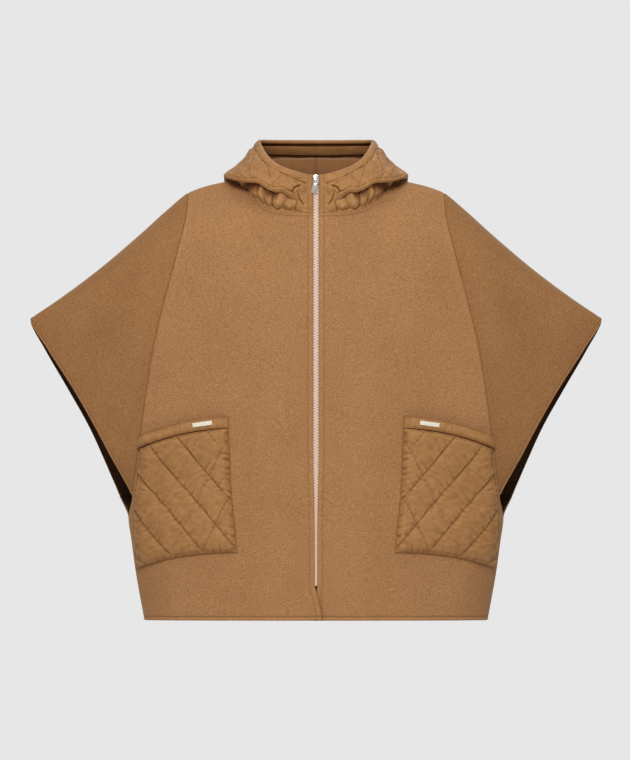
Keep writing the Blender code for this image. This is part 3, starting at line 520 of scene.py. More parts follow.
def prism_faces(base, rings, sides):
    """The closed skin over rings of points that follow one another from base on."""
    faces = []
    for ring in range(rings - 1):
        for k in range(sides):
            a, b = base + ring * sides + k, base + ring * sides + (k + 1) % sides
            faces.append((a, b, b + sides, a + sides))
    last = base + (rings - 1) * sides
    faces.append(tuple(base + k for k in range(sides))[::-1])
    faces.append(tuple(last + k for k in range(sides)))
    return faces


STITCH_SIDES = 5
STITCH_RINGS = (  # a stitch's rings: place along it, thickness, and how deep it dips there
    (0.0, 0.35, 1.6),
    (0.25, 1.0, 0.2),
    (0.75, 1.0, 0.2),
    (1.0, 0.35, 1.6),
)


def stitched(lines, name):
    """Sewing along the lines: short rounded stitches that dip at their ends."""
    points, faces = [], []
    for path, ups in lines:
        steps = np.linalg.norm(np.diff(path, axis=0), axis=1)
        along = np.concatenate([[0.0], np.cumsum(steps)])
        count = int(along[-1] / (STITCH + STITCH_GAP))
        for n in range(count):
            start = n * (STITCH + STITCH_GAP)
            faces += prism_faces(len(points), len(STITCH_RINGS), STITCH_SIDES)
            for t, size, dip in STITCH_RINGS:
                s = start + t * STITCH
                at = np.array(point_at(path, along, s))
                on = np.array(point_at(path, along, s + 1e-4))
                up = unit(np.array(point_at(ups, along, s)))
                ahead = unit(on - at + 1e-9)
                side = unit(np.cross(ahead, up))
                centre = at + up * (STITCH_RADIUS * (1 - dip) - STITCH_SUNK)
                for turn in range(STITCH_SIDES):
                    angle = 2 * math.pi * turn / STITCH_SIDES
                    ring = side * math.cos(angle) * 1.15 + up * math.sin(angle)
                    points.append(centre + ring * STITCH_RADIUS * size)
    return mesh_object(name, points, faces, [THREAD_LOOK], smooth_angle=80)


def stands_for(obj, node, body=MAIN_BODY):
    """Ties a piece to its body and hides the solid that it replaces."""
    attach(obj, body)
    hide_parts(node)


def both(left, node):
    """A left piece and its mirrored copy, in place of the two solids of that kind."""
    right = mirror(left, left.name.replace("_left_", "_right_"))
    stands_for(left, node + "_left")
    stands_for(right, node + "_right")
    return left, right


# ---------------------------------------------------------------- materials
SHADE_POWERS = (0.85, 1.10, 1.40)  # in painted shade the colour loses the most blue and the least red


class Nodes:
    """A short way to write a node tree."""

    def __init__(self, name):
        self.material = bpy.data.materials.new(name)
        self.material.use_nodes = True
        self.tree = self.material.node_tree
        self.shader = self.tree.nodes["Principled BSDF"]

    def add(self, kind, settings=(), **inputs):
        node = self.tree.nodes.new("ShaderNode" + kind)
        for key, value in dict(settings).items():
            setattr(node, key, value)
        for key, value in inputs.items():
            socket = node.inputs[int(key[1:])] if key[0] == "_" else node.inputs[key]
            if hasattr(value, "links"):
                self.tree.links.new(value, socket)
            else:
                socket.default_value = value
        return node

    def link(self, output, name):
        self.tree.links.new(output, self.shader.inputs[name])

    def set(self, **values):
        for key, value in values.items():
            self.shader.inputs[key.replace("_", " ")].default_value = value

    def places(self, scale=(1.0, 1.0, 1.0), turn=(0.0, 0.0, 0.0)):
        where = self.add("TexCoord").outputs["Object"]
        return self.add("Mapping", _0=where, Scale=scale, Rotation=turn).outputs[0]

    def noise(self, where, scale, detail=4.0, rough=0.55, twist=0.0):
        return self.add("TexNoise", Vector=where, Scale=scale, Detail=detail,
                        Roughness=rough, Distortion=twist).outputs["Fac"]

    def ramp(self, value, low, high, at=(0.3, 0.7)):
        node = self.add("ValToRGB", Fac=value)
        for element, colour, place in zip(node.color_ramp.elements, (low, high), at):
            element.position = place
            element.color = (*colour, 1.0)
        return node.outputs["Color"]

    def blend(self, a, b, factor, kind="MULTIPLY"):
        return self.add("MixRGB", {"blend_type": kind}, _0=factor, _1=a, _2=b).outputs[0]

    def bump(self, height, strength, distance, before=None):
        inputs = {"Height": height, "Strength": strength, "Distance": distance}
        if before is not None:
            inputs["Normal"] = before
        return self.add("Bump", **inputs).outputs["Normal"]

    def painted_shade(self, colour):
        """The colour darkened and warmed by the painted shade that the mesh carries in its folds
        and grooves, and lightened where a highlight is painted.
        """
        shade = self.add("Attribute", {"attribute_name": "shade"}).outputs["Fac"]
        parts = [self.add("Math", {"operation": "POWER"}, _0=shade, _1=power).outputs[0]
                 for power in SHADE_POWERS]
        tone = self.add("CombineColor", _0=parts[0], _1=parts[1], _2=parts[2]).outputs[0]
        return self.blend(colour, tone, 1.0)


def grey(value):
    return (value, value, value)


def wool_material(name, low, high, painted_shade=True):
    """Brushed wool: a mottled melange of fibres under a soft nap."""
    m = Nodes(name)
    where = m.places()
    felt = m.places((1.0, 1.0, 1.8))
    mottle = m.noise(felt, 330.0, 5.0, 0.62)
    fibres = m.noise(m.places((1.0, 1.0, 3.2), (0.0, 0.5, 0.0)), 1500.0, 3.0, 0.6)
    cloud = m.noise(where, 9.0, 3.0, 0.5)
    colour = m.ramp(mottle, low, high, (0.37, 0.63))
    colour = m.blend(colour, m.ramp(fibres, grey(0.74), grey(1.24), (0.28, 0.72)), 0.9)
    colour = m.blend(colour, m.ramp(cloud, grey(0.955), grey(1.045), (0.3, 0.7)), 1.0)
    m.link(m.painted_shade(colour) if painted_shade else colour, "Base Color")
    m.set(Roughness=0.92, Sheen_Weight=0.22, Sheen_Roughness=0.42,
          Sheen_Tint=(1.0, 0.72, 0.46, 1.0), Specular_IOR_Level=0.12)
    nap = m.bump(mottle, 0.35, 0.0008)
    m.link(m.bump(fibres, 0.30, 0.0004, nap), "Normal")
    return m.material


def nylon_material(name, low, high, roughness=0.52):
    """Fine nylon over padding: a tight plain weave and small irregular wrinkles."""
    m = Nodes(name)
    where = m.places()
    wrinkle = m.noise(m.places((1.0, 1.0, 1.4)), 62.0, 4.0, 0.55, 0.6)
    grain = m.noise(where, 900.0, 2.0, 0.5)
    weave = m.add("TexWave", {"wave_type": "BANDS", "bands_direction": "Z"},
                  Vector=where, Scale=520.0, Distortion=0.6, Detail=1.0).outputs["Fac"]
    colour = m.ramp(wrinkle, low, high, (0.3, 0.72))
    colour = m.blend(colour, m.ramp(grain, grey(0.93), grey(1.06), (0.3, 0.7)), 0.9)
    m.link(m.painted_shade(colour), "Base Color")
    m.set(Roughness=roughness, Sheen_Weight=0.06, Sheen_Roughness=0.5,
          Sheen_Tint=(1.0, 0.74, 0.48, 1.0), Specular_IOR_Level=0.14)
    soft = m.bump(wrinkle, 0.38, 0.0016)
    m.link(m.bump(weave, 0.10, 0.0002, soft), "Normal")
    return m.material


def thread_material(name, colour):
    m = Nodes(name)
    twist = m.noise(m.places(), 2600.0, 2.0, 0.5)
    m.link(m.ramp(twist, tuple(c * 0.8 for c in colour), tuple(c * 1.15 for c in colour)),
           "Base Color")
    m.set(Roughness=0.6, Sheen_Weight=0.2, Specular_IOR_Level=0.3)
    m.link(m.bump(twist, 0.3, 0.0002), "Normal")
    return m.material


def tape_material(name):
    """A woven zip tape: a fine herringbone."""
    m = Nodes(name)
    where = m.places((1.0, 1.0, 1.0), (0.0, 0.72, 0.0))
    rib = m.add("TexWave", {"wave_type": "BANDS", "bands_direction": "Z"},
                Vector=where, Scale=420.0, Distortion=0.3).outputs["Fac"]
    m.link(m.ramp(rib, (0.27, 0.125, 0.050), (0.38, 0.180, 0.075)), "Base Color")
    m.set(Roughness=0.8, Sheen_Weight=0.15)
    m.link(m.bump(rib, 0.5, 0.0003), "Normal")
    return m.material


def metal_material(name, colour, roughness, metallic, brushed=0.0):
    """Metal with faint wear, brushed along X where asked; less metallic is paler and softer."""
    m = Nodes(name)
    wear = m.noise(m.places(), 420.0, 3.0, 0.6)
    tone = m.ramp(wear, tuple(c * 0.90 for c in colour), colour, (0.3, 0.65))
    m.link(tone, "Base Color")
    m.link(m.add("MapRange", _0=wear, _1=0.3, _2=0.7, _3=roughness * 0.8,
                 _4=roughness * 1.25).outputs[0], "Roughness")
    m.set(Metallic=metallic)
    if brushed:
        lines = m.noise(m.places((0.06, 1.0, 1.0)), 5200.0, 2.0, 0.5)
        m.link(m.bump(lines, brushed, 0.0002), "Normal")
    return m.material


WOOL_LOOK = wool_material("wool", (0.310, 0.146, 0.058), (0.470, 0.236, 0.098))
# a darker copy of the wool for the sleeves: partly the nap's darker look across its grain, partly
# painted shade for sleeves turned away from the light
SLEEVE_NAP_AND_SHADE_LOOK = wool_material("wool_sleeve", (0.258, 0.118, 0.043), (0.392, 0.190, 0.074))
# the wool's inner face: the same wool painted near black, a painted shade for the deep shadow
# inside the hollow garment
INSIDE_SHADE_LOOK = wool_material("wool_inside_painted_shade", (0.040, 0.017, 0.007), (0.070, 0.031, 0.013), False)
NYLON_LOOK = nylon_material("nylon", (0.342, 0.162, 0.056), (0.435, 0.213, 0.077))
POCKET_LOOK = nylon_material("pocket_nylon", (0.328, 0.154, 0.053), (0.417, 0.200, 0.072))
LINING_LOOK = nylon_material("lining", (0.196, 0.083, 0.024), (0.245, 0.106, 0.032), 0.6)
THREAD_LOOK = thread_material("thread", (0.330, 0.162, 0.070))
TAPE_LOOK = tape_material("tape")
TEETH_LOOK = metal_material("teeth", (1.00, 0.76, 0.61), 0.34, 0.15)
SLIDER_LOOK = metal_material("slider", (0.86, 0.82, 0.77), 0.18, 0.92)
PLATE_LOOK = metal_material("plate", (1.00, 0.93, 0.77), 0.28, 0.25, brushed=0.03)


# ---------------------------------------------------------------- folds of the wool
def ridges(x, z, rows):
    """Soft folds: each row is from x, z to x, z, a width and a height."""
    total = np.zeros_like(x)
    for x0, z0, x1, z1, width, height in rows:
        dx, dz = x1 - x0, z1 - z0
        length = math.hypot(dx, dz)
        along = ((x - x0) * dx + (z - z0) * dz) / length
        off = ((x - x0) * dz - (z - z0) * dx) / length
        ends = ease((along + 0.25 * length) / (0.5 * length)) * ease(
            (1.25 * length - along) / (0.5 * length))
        total += height * hump(off, 0.0, width) * ends
    return total


def unevenness(x, z):
    """The slight waviness of hanging cloth."""
    slow = np.sin(31 * x + 17 * z + 0.6) * np.sin(23 * z - 11 * x + 1.1)
    quick = np.sin(83 * x - 41 * z + 2.0) * np.sin(59 * z + 37 * x)
    return 0.0007 * slow + 0.00022 * quick


FRONT_FOLDS = (
    (0.120, 0.000, 0.165, -0.170, 0.026, 0.0016),
    (0.215, -0.060, 0.262, -0.260, 0.022, -0.0014),
    (0.060, -0.160, 0.075, -0.420, 0.040, 0.0014),
    (0.235, -0.300, 0.262, -0.430, 0.024, 0.0016),
    (0.125, -0.380, 0.112, -0.720, 0.022, -0.0018),
    (0.060, -0.520, 0.066, -0.725, 0.026, 0.0016),
    (0.250, -0.640, 0.236, -0.725, 0.018, 0.0016),
)
BACK_FOLDS = (
    (0.130, -0.010, 0.170, -0.200, 0.028, 0.0022),
    (0.070, -0.180, 0.090, -0.560, 0.034, -0.0026),
    (0.160, -0.300, 0.190, -0.720, 0.034, 0.0030),
    (0.245, -0.280, 0.262, -0.600, 0.026, -0.0024),
    (0.030, -0.420, 0.022, -0.725, 0.026, 0.0022),
)
SLEEVE_FOLDS = (
    (0.262, -0.080, 0.330, -0.330, 0.026, 0.0020),
    (0.300, -0.120, 0.385, -0.300, 0.024, -0.0022),
    (0.350, -0.170, 0.430, -0.270, 0.022, 0.0018),
    (0.285, -0.300, 0.322, -0.460, 0.022, -0.0016),
)


STITCH_DEEP, STITCH_WIDE = 0.00060, 0.0012  # the groove that topstitching draws in
EDGE_FULL = 0.00022  # how far a turned edge stands up beside its stitches
EDGE_ROLL, EDGE_DROP = 0.0016, 0.0010  # the width and the depth of its rounding
SEAM_DEEP, SEAM_WIDE = 0.00045, 0.0030  # the valley of a seam
SEAM_FULL, SEAM_FULL_AT, SEAM_FULL_WIDE = 0.0003, 0.0052, 0.0024  # the fullness beside it
SEAM_DARK, SEAM_DARK_WIDE = 0.34, 0.0016  # how much painted shade darkens the cloth in that valley


def turned(reach, stitch_at):
    """Relief at an edge that is turned in and topstitched."""
    groove = -STITCH_DEEP * hump(reach, stitch_at, STITCH_WIDE)
    ridge = EDGE_FULL * hump(reach, stitch_at * 0.5, stitch_at * 0.32)
    return groove + ridge - EDGE_DROP * (1 - ease(reach / EDGE_ROLL))


def joined(reach):
    """Relief at an edge that is sewn to the next piece: a narrow valley."""
    full = SEAM_FULL * hump(reach, SEAM_FULL_AT, SEAM_FULL_WIDE)
    return -SEAM_DEEP * (1 - ease(reach / SEAM_WIDE)) + full


def darker(reach, amount, width):
    """The painted shade of an edge: darker by an amount at the edge, and 1 beyond a width."""
    return 1 - amount * (1 - ease(reach / width))


FOLD_PAINTED_LIGHT = 15.0  # how much painted light a fold's crest gets, and painted shade its trough, for each metre that it stands up or sinks


def wool_piece(name, face, x, z, relief_of, shade_of, over=0.0, look=WOOL_LOOK):
    """One piece of the wool: outer and inner side, with its relief."""
    base = on_sheet(face, x, z)
    normals = outward(face, x, z)
    reach = reaches(base)
    soft = relief_of(np.abs(x), z, reach)
    fine = shade_of(np.abs(x), z, reach) * (1 + FOLD_PAINTED_LIGHT * soft["low"])
    outer = base + normals * (soft["low"] + soft["fine"] + over)[..., None]
    inner = base + normals * (soft["low"] + over - WOOL)[..., None]
    obj = wall(name, outer, inner, [look, INSIDE_SHADE_LOOK], fine)
    return obj, outer, normals, reach


HEM_STITCH, ZIP_STITCH, NECK_STITCH = 0.0068, 0.0088, 0.0070  # stitches to edge
CUFF_STITCH, FREE_STITCH = 0.0080, 0.0062
NECK_END_X = max(NECKLINE["across"])


def at_neckline(x):
    """1 where the top edge of a body piece is the neckline, 0 where it is the shoulder seam."""
    return ease((NECK_END_X + 0.004 - x) / 0.008)


def front_relief(x, z, reach):
    # the short free stretch of the side edge between the cuff's corner and the side seam
    below = ease((CUFF_CORNER_Z + 0.004 - z) / 0.008)
    open_cuff = below * ease((z - ARMHOLE_Z) / 0.006)
    at_neck = at_neckline(x)
    fine = turned(reach["first"], ZIP_STITCH) + turned(reach["low"], HEM_STITCH)
    fine += at_neck * turned(reach["top"], NECK_STITCH) + (1 - at_neck) * joined(reach["top"])
    free = turned(reach["last"], FREE_STITCH)
    fine += (1 - open_cuff) * joined(reach["last"]) + open_cuff * free
    quiet = ease(reach["top"] / 0.05) * ease(reach["last"] / 0.02)
    quiet *= ease(reach["first"] / 0.03)
    low = (ridges(x, z, FRONT_FOLDS) + unevenness(x, z)) * quiet
    return {"low": low, "fine": fine}


def sewn_line(reach, at, amount):
    """A line of topstitching drawn into the cloth as painted shade, with a painted highlight on the
    turned edge beside it.
    """
    lighter = 1 + 0.25 * amount * hump(reach, at * 0.5, at * 0.3)
    return (1 - amount * hump(reach, at, 0.0011)) * lighter


def front_shade(x, z, reach):
    # painted shade in the long seam's valley and along the stitched edges
    shade = darker(reach["last"], SEAM_DARK, SEAM_DARK_WIDE)
    shade *= sewn_line(reach["first"], ZIP_STITCH, 0.16)
    # a painted highlight on the seam's raised edge near the shoulder
    shade *= 1 + 0.16 * hump(reach["last"], 0.0026, 0.0010) * ease((z + 0.160) / 0.080)
    shade *= sewn_line(reach["low"], HEM_STITCH, 0.42)
    at_neck = at_neckline(x)
    shade *= mix(1.0, sewn_line(reach["top"], NECK_STITCH, 0.24), at_neck)
    # a painted shadow on the hem where the two fronts meet; under_fold paints the hood fold's
    # shadow onto the wool
    corner = hump(x, 0.0, 0.0050) * (1 - ease((reach["low"] - 0.0006) / 0.0022))
    return shade * under_fold(x, z, 0.60) * (1 - 0.80 * corner)


def make_fronts():
    """Both fronts; the right one laps over the left one near the hem, which it shades."""
    for side in ("left", "right"):
        laps = side == "right"

        def inner_edge(z, laps=laps):
            return lap_edge(z) if laps else zip_edge(z) - 0.0014 * ease((LAP_FROM - z) / 0.010)

        def shade_of(x, z, reach, laps=laps):
            shade = front_shade(x, z, reach)
            past = np.maximum(x + lap_edge(z), 0.0)
            shadow = 0.42 * ease(3 * lapping(z)) * np.exp(-past / 0.0026)
            return shade if laps else shade * (1 - shadow)

        x, z = body_grid("front", inner_edge)
        over = OVERLAP_LIFT * ease(1.6 * lapping(z)) * ease((0.050 - x) / 0.036) if laps else 0.0
        obj, outer, normals, reach = wool_piece(
            "front_" + side + "_cloth", "front", x, z, front_relief, shade_of, over)
        lines = [line_on(outer, normals, reach["first"], ZIP_STITCH)]
        lines.append(low_line(outer, normals, reach, HEM_STITCH))
        neck = np.abs(outer[0, :, 0]) <= NECK["across"](1.0) + 1e-6
        across, ups = outer.transpose(1, 0, 2)[neck], normals.transpose(1, 0, 2)[neck]
        lines.append(line_on(across, ups, reach["top"].T[neck], NECK_STITCH))
        sewn = stitched(lines, "front_" + side + "_stitches")
        if laps:
            obj = flip(obj)
            sewn = flip(sewn)
        wool_ready(obj, sewn, "front_" + side)


def flip(obj):
    """The piece turned into its mirror image."""
    name = obj.name
    copy = mirror(obj, name + "_mirrored")
    bpy.data.objects.remove(obj)
    copy.name = copy.data.name = name
    return copy


def wool_ready(obj, sewn, node):
    """Ties a piece of the wool and its stitches to the garment, and hides the solid that it
    replaces.
    """
    stands_for(obj, node)
    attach(sewn, MAIN_BODY)


def back_relief(x, z, reach):
    side = np.minimum(reach["first"], reach["last"])
    at_neck = at_neckline(x)
    fine = turned(reach["low"], HEM_STITCH) + joined(side)
    fine += at_neck * turned(reach["top"], NECK_STITCH) + (1 - at_neck) * joined(reach["top"])
    quiet = ease(reach["top"] / 0.05) * ease(side / 0.02)
    low = (ridges(x, z, BACK_FOLDS) + unevenness(x, z)) * quiet
    return {"low": low, "fine": fine}


def back_shade(x, z, reach):
    side = np.minimum(reach["first"], reach["last"])
    shade = darker(side, SEAM_DARK, SEAM_DARK_WIDE)
    return shade * sewn_line(reach["low"], HEM_STITCH, 0.36)


def make_back():
    x, z = body_grid("back", lambda z: 0.0 * z)
    x = np.concatenate([-x[:, :0:-1], x], axis=1)
    z = np.concatenate([z[:, :0:-1], z], axis=1)
    keep = np.concatenate([[True], np.diff(x[0]) > 1e-5])
    x, z = x[:, keep], z[:, keep]
    obj, outer, normals, reach = wool_piece("back_cloth", "back", x, z, back_relief, back_shade)
    sewn = stitched([low_line(outer, normals, reach, HEM_STITCH)], "back_stitches")
    wool_ready(obj, sewn, "back")


def sleeve_relief(x, z, reach):
    fine = joined(reach["first"]) + joined(reach["top"]) + turned(reach["low"], CUFF_STITCH)
    fine += turned(reach["last"], CUFF_STITCH)
    quiet = ease(reach["top"] / 0.04) * ease(reach["first"] / 0.02)
    low = (ridges(x, z, SLEEVE_FOLDS) + unevenness(x, z)) * quiet
    return {"low": low, "fine": fine}


def sleeve_shade(x, z, reach):
    shade = darker(reach["first"], 0.26, 0.0046) * darker(reach["top"], 0.15, 0.0018)
    return shade * sewn_line(reach["low"], CUFF_STITCH, 0.30)


def make_sleeves(face):
    x, z = sleeve_grid(face)
    name = "sleeve_" + face
    obj, outer, normals, reach = wool_piece(
        name + "_left_cloth", face, x, z, sleeve_relief, sleeve_shade, look=SLEEVE_NAP_AND_SHADE_LOOK)
    sewn = stitched([low_line(outer, normals, reach, CUFF_STITCH)], name + "_left_stitches")
    other, other_sewn = mirror(obj, name + "_right_cloth"), mirror(sewn, name + "_right_stitches")
    wool_ready(obj, sewn, name + "_left")
    wool_ready(other, other_sewn, name + "_right")


# ---------------------------------------------------------------- hood
def neck_place(station):
    face = "front" if station <= 1 else "back"
    x, z = NECK["across"](station), NECK["height"](station)
    return on_sheet(face, x, np.minimum(z, TOP["height"](x)))


def neck_start(station):
    """Where a section of the hood starts, just inside the wool's edge, and its way up."""
    step = 0.01
    low, high = max(station - step, 0.0), min(station + step, 2.0)
    along = unit(neck_place(high) - neck_place(low))
    face = "front" if station <= 1 else "back"
    normal = outward(face, NECK["across"](station), NECK["height"](station))
    normal = unit(normal - along * normal.dot(along))
    inward = unit(np.cross(along, normal))
    if inward[2] < 0 or (inward[2] < 0.5 and inward[0] > 0.3):
        inward = -inward
    up = np.array([0.0, 0.0, 1.0])
    rising = unit(up - along * along[2])
    upright = max(rising.dot(normal), 0.0)
    start = neck_place(station) + inward * (NECK_GAP + NYLON / 2 * upright)
    return start - normal * (WOOL / 2) * (1 + upright), rising


HOOD_CURVES = {
    name: [smooth(HOOD["station"], [p[k] for p in HOOD[name]]) for k in range(3)]
    for name in ("roll", "fold", "side", "rim")
}


def hood_controls(station):
    """The points that a section of the hood runs through, neckline to rim."""
    start, rising = neck_start(station)
    roll, fold, side, rim = (
        np.array([curve(station) for curve in HOOD_CURVES[name]]) for name in HOOD_CURVES
    )
    upright = start + rising * 0.0040
    rolled = rounded(upright, roll, fold, BEND["roll"](station))
    folded = rounded(roll, fold, side, BEND["fold"](station))
    return [start, upright, *rolled, *folded, side, rim]


def rounded(before, corner, after, width):
    """Two points in place of a corner, width apart and drawn in from it."""
    back, on = unit(before - corner), unit(after - corner)
    across = unit(on - back)
    drawn_in = corner + (back + on) * (0.22 * width)
    return drawn_in - across * (width / 2), drawn_in + across * (width / 2)


def heading(points, i):
    before = points[i] - points[i - 1] if i > 0 else points[1] - points[0]
    after = points[i + 1] - points[i] if i + 1 < len(points) else before
    return unit(unit(before) + unit(after))


SPAN_STEPS = 30
SPAN_T = np.arange(1, SPAN_STEPS + 1)[:, None] / SPAN_STEPS


def hood_section(station):
    """Close points along one hood section, and how far along it each one is."""
    controls = hood_controls(station)
    fine = [controls[0][None, :]]
    for i in range(len(controls) - 1):
        a, b = controls[i], controls[i + 1]
        reach = min(np.linalg.norm(b - a), ROLL_REACH)
        first_reach = reach
        if i == FOLD_SPAN:
            first_reach = min(reach, mix(*FOLD_REACH, ease((station - 1.15) / 0.4)))
        start, end = heading(controls, i) * first_reach, heading(controls, i + 1) * reach
        rise = SPAN_T * SPAN_T * (3 - 2 * SPAN_T)
        curve = start * (SPAN_T * (1 - SPAN_T) ** 2) + end * (SPAN_T * SPAN_T * (SPAN_T - 1))
        fine.append(a + (b - a) * rise + curve)
    fine = np.concatenate(fine)
    steps = np.linalg.norm(np.diff(fine, axis=0), axis=1)
    return fine, np.concatenate([[0.0], np.cumsum(steps)])


HOOD_ROWS = (6, 12, 14, 34, 12, 30, 36)  # rows in each span from the neckline to the rim
FOLD_ROW = sum(HOOD_ROWS[:4])
FRONT_COLUMNS, BACK_COLUMNS = 128, 60
WIDTH_ROW = 40  # rows below the rim where the quilting's distance from the zip is measured


def quilting(along, down):
    """0 on the quilting lines and up to 1 inside each diamond, and how far both lines are."""
    line_a = (along + QUILT_SLOPE_A * down - QUILT_START_A) / QUILT_PITCH_A
    line_b = (along + QUILT_SLOPE_B * down - QUILT_START_B) / QUILT_PITCH_B
    wave_a, wave_b = np.abs(np.sin(np.pi * line_a)), np.abs(np.sin(np.pi * line_b))
    near_a = wave_a * QUILT_PITCH_A / math.pi / math.hypot(1, QUILT_SLOPE_A)
    near_b = wave_b * QUILT_PITCH_B / math.pi / math.hypot(1, QUILT_SLOPE_B)
    return (wave_a * wave_b) ** 0.55, near_a, near_b


PUCKER_PITCH_A, PUCKER_PITCH_B = 0.0082, 0.0094  # from one wrinkle to the next on a line
PUCKER_REACH, PUCKER_HIGH = 0.0050, 0.00042  # how far off the line they fade, and how high
SEWN_DEEP, SEWN_WIDE = 0.0007, 0.0011  # the sewn line itself


def puckers(along, down, near_a, near_b):
    """Short wrinkles that run off the quilting lines, and the pull of the sewing."""
    tug_a = np.sin(2 * np.pi * (down - 0.4 * along) / PUCKER_PITCH_A + 3 * np.sin(60 * along))
    tug_b = np.sin(2 * np.pi * (along + 0.3 * down) / PUCKER_PITCH_B + 3 * np.sin(70 * down))
    wrinkle = tug_a * np.exp(-near_a / PUCKER_REACH) + tug_b * np.exp(-near_b / PUCKER_REACH)
    sewn = np.exp(-((near_a / SEWN_WIDE) ** 2)) + np.exp(-((near_b / SEWN_WIDE) ** 2))
    sewn = np.minimum(sewn, 1.0)
    return PUCKER_HIGH * wrinkle - SEWN_DEEP * sewn, sewn


GATHERS = (
    (0.1054, 0.0068, 0.0893, -0.0247, 0.0011, -0.0030),
    (0.0978, 0.0051, 0.0867, -0.0170, 0.0014, -0.0013),
    (0.0910, 0.0017, 0.0833, -0.0272, 0.0016, -0.0024),
    (0.0774, 0.0017, 0.0723, -0.0272, 0.0012, -0.0032),
    (0.0723, -0.0272, 0.0620, -0.0340, 0.0010, -0.0018),
    (0.0467, -0.0136, 0.0587, -0.0272, 0.0012, -0.0015),
    (0.0570, -0.0272, 0.0527, -0.0349, 0.0007, -0.0016),
    (0.0527, -0.0272, 0.0493, -0.0357, 0.0007, -0.0018),
    (0.0485, -0.0289, 0.0450, -0.0366, 0.0007, -0.0018),
    (0.0434, -0.0281, 0.0416, -0.0366, 0.0007, -0.0016),
    (0.0306, -0.0153, 0.0366, -0.0349, 0.0010, -0.0022),
    (0.0383, -0.0355, 0.0213, -0.0374, 0.0013, -0.0024),
    (0.1190, 0.0102, 0.1010, -0.0190, 0.0014, -0.0022),
    (0.0660, -0.0085, 0.0640, -0.0290, 0.0060, 0.0022),
    (0.0420, -0.0150, 0.0450, -0.0300, 0.0048, 0.0026),
    (0.0850, 0.0000, 0.0790, -0.0250, 0.0040, 0.0016),
)
PINCHES = (
    (0.0410, -0.0025, 0.0357, 0.0046, 0.0012, -0.0034),
    (0.0357, 0.0046, 0.0272, 0.0077, 0.0011, -0.0036),
    (0.0374, 0.0072, 0.0281, 0.0108, 0.0020, 0.0020),
    (0.0340, 0.0010, 0.0300, 0.0020, 0.0030, 0.0016),
    (0.0332, 0.0017, 0.0281, -0.0153, 0.0009, -0.0028),
    (0.0281, -0.0153, 0.0213, -0.0255, 0.0009, -0.0026),
    (0.0536, -0.0031, 0.0434, -0.0022, 0.0009, -0.0020),
    (0.0434, -0.0022, 0.0357, -0.0063, 0.0009, -0.0022),
)
# how deep a crease is when its painted shade is full, and how dark that painted shade is
CREASE_DEEP, CREASE_DARK = 0.0034, 0.48


def front_gathers(x, z, share):
    """The gathered lower part of the hood: soft puffs between creases over the neckline."""
    short = noise(x / 0.0026 + 2 * share, share * 2.0, 11) * np.exp(-share / 0.14)
    soft = 0.0007 * noise(x / 0.0070, z / 0.0110, 12)
    return 0.0016 + ridges(x, z, GATHERS) + soft + 0.0010 * short * ease((0.068 - x) / 0.010)


def creased(relief):
    """The painted shade that the narrow creases of a relief hold."""
    return 1 - CREASE_DARK * np.clip(-relief / CREASE_DEEP, 0.0, 1.0)


CROOK, CROOK_AT, CROOK_WIDE = 0.0100, 0.0085, 0.0050  # the hollow just under the hood's fold
QUIET_FRONT = 0.72  # how much of the quilting's depth is left at the front


def fold_wave(x):
    """How far the fold's lower edge stands up from an even curve."""
    return 0.0046 * hump(x, 0.0995, 0.0130) + 0.0056 * hump(x, 0.0570, 0.0085)


def fold_line():
    """The lowest line of the hood's fold in front: its distances from the zip and heights."""
    lowest = []
    for station in np.linspace(0.0, 1.0, 61):
        fine, _ = hood_section(station)
        bend = fine[SPAN_STEPS * 4 : SPAN_STEPS * 6]
        place = bend[np.argmin(bend[:, 2])].copy()
        place[2] += fold_wave(abs(place[0]))
        lowest.append(place)
    lowest = np.array(lowest)
    order = np.argsort(np.abs(lowest[:, 0]))
    return np.abs(lowest[order, 0]), lowest[order, 2]


FOLD_X, FOLD_Z = fold_line()
FOLD_HALF = 0.0056  # from the middle of the folded wall to its lower side


def under_fold(x, z, dark):
    """The shadow just under the hood's fold: 1 - dark in it, and 1 away from it."""
    x = np.abs(x)
    drop = np.interp(x, FOLD_X, FOLD_Z) - FOLD_HALF - z
    deep = mix(0.0036, 0.0074, ease((x - 0.050) / 0.030)) * (1 + 0.35 * noise(x / 0.0048, 0.5, 13))
    along = ease((x - 0.040) / 0.008) * ease((FOLD_X[-1] + 0.002 - x) / 0.012)  # away from the zip
    inside = ease((drop + 0.0030) / 0.0020) * (1 - ease((drop - 0.45 * deep) / deep))
    return 1 - dark * inside * along


def hood_grids():
    """The middle of the hood's wall, the band round its opening, and distances down."""
    stations = np.concatenate([np.linspace(0.0, 1.0, FRONT_COLUMNS + 1),
                               np.linspace(1.0, 2.0, BACK_COLUMNS + 1)[1:]])
    columns, downs, rims = [], [], []
    for station in stations:
        fine, travelled = hood_section(station)
        stops = [travelled[SPAN_STEPS * i] for i in range(len(HOOD_ROWS) + 1)]
        stops[-1] -= RIM + RIM_GAP
        rows = [0.0]
        for span, count in enumerate(HOOD_ROWS):
            rows += list(np.linspace(stops[span], stops[span + 1], count + 1)[1:])
        band = travelled[-1] - BAND_REACH * (1 - np.linspace(0, 1, BAND_RING + 1))
        columns.append([point_at(fine, travelled, d) for d in rows])
        rims.append([point_at(fine, travelled, d) for d in band])
        downs.append(travelled[-1] - np.array(rows))
    shell = np.array(columns).transpose(1, 0, 2)
    shell[:, 0, 0] = NECK["across"](0.0)
    shell[:, -1, 0] = 0.0
    return stations, shell, np.array(downs).T, np.array(rims).transpose(1, 0, 2)


def facing_out(normals, row, column):
    """The normals turned so that the one at a row and column in front points to the front."""
    return -normals if normals[row, column, 1] > 0 else normals


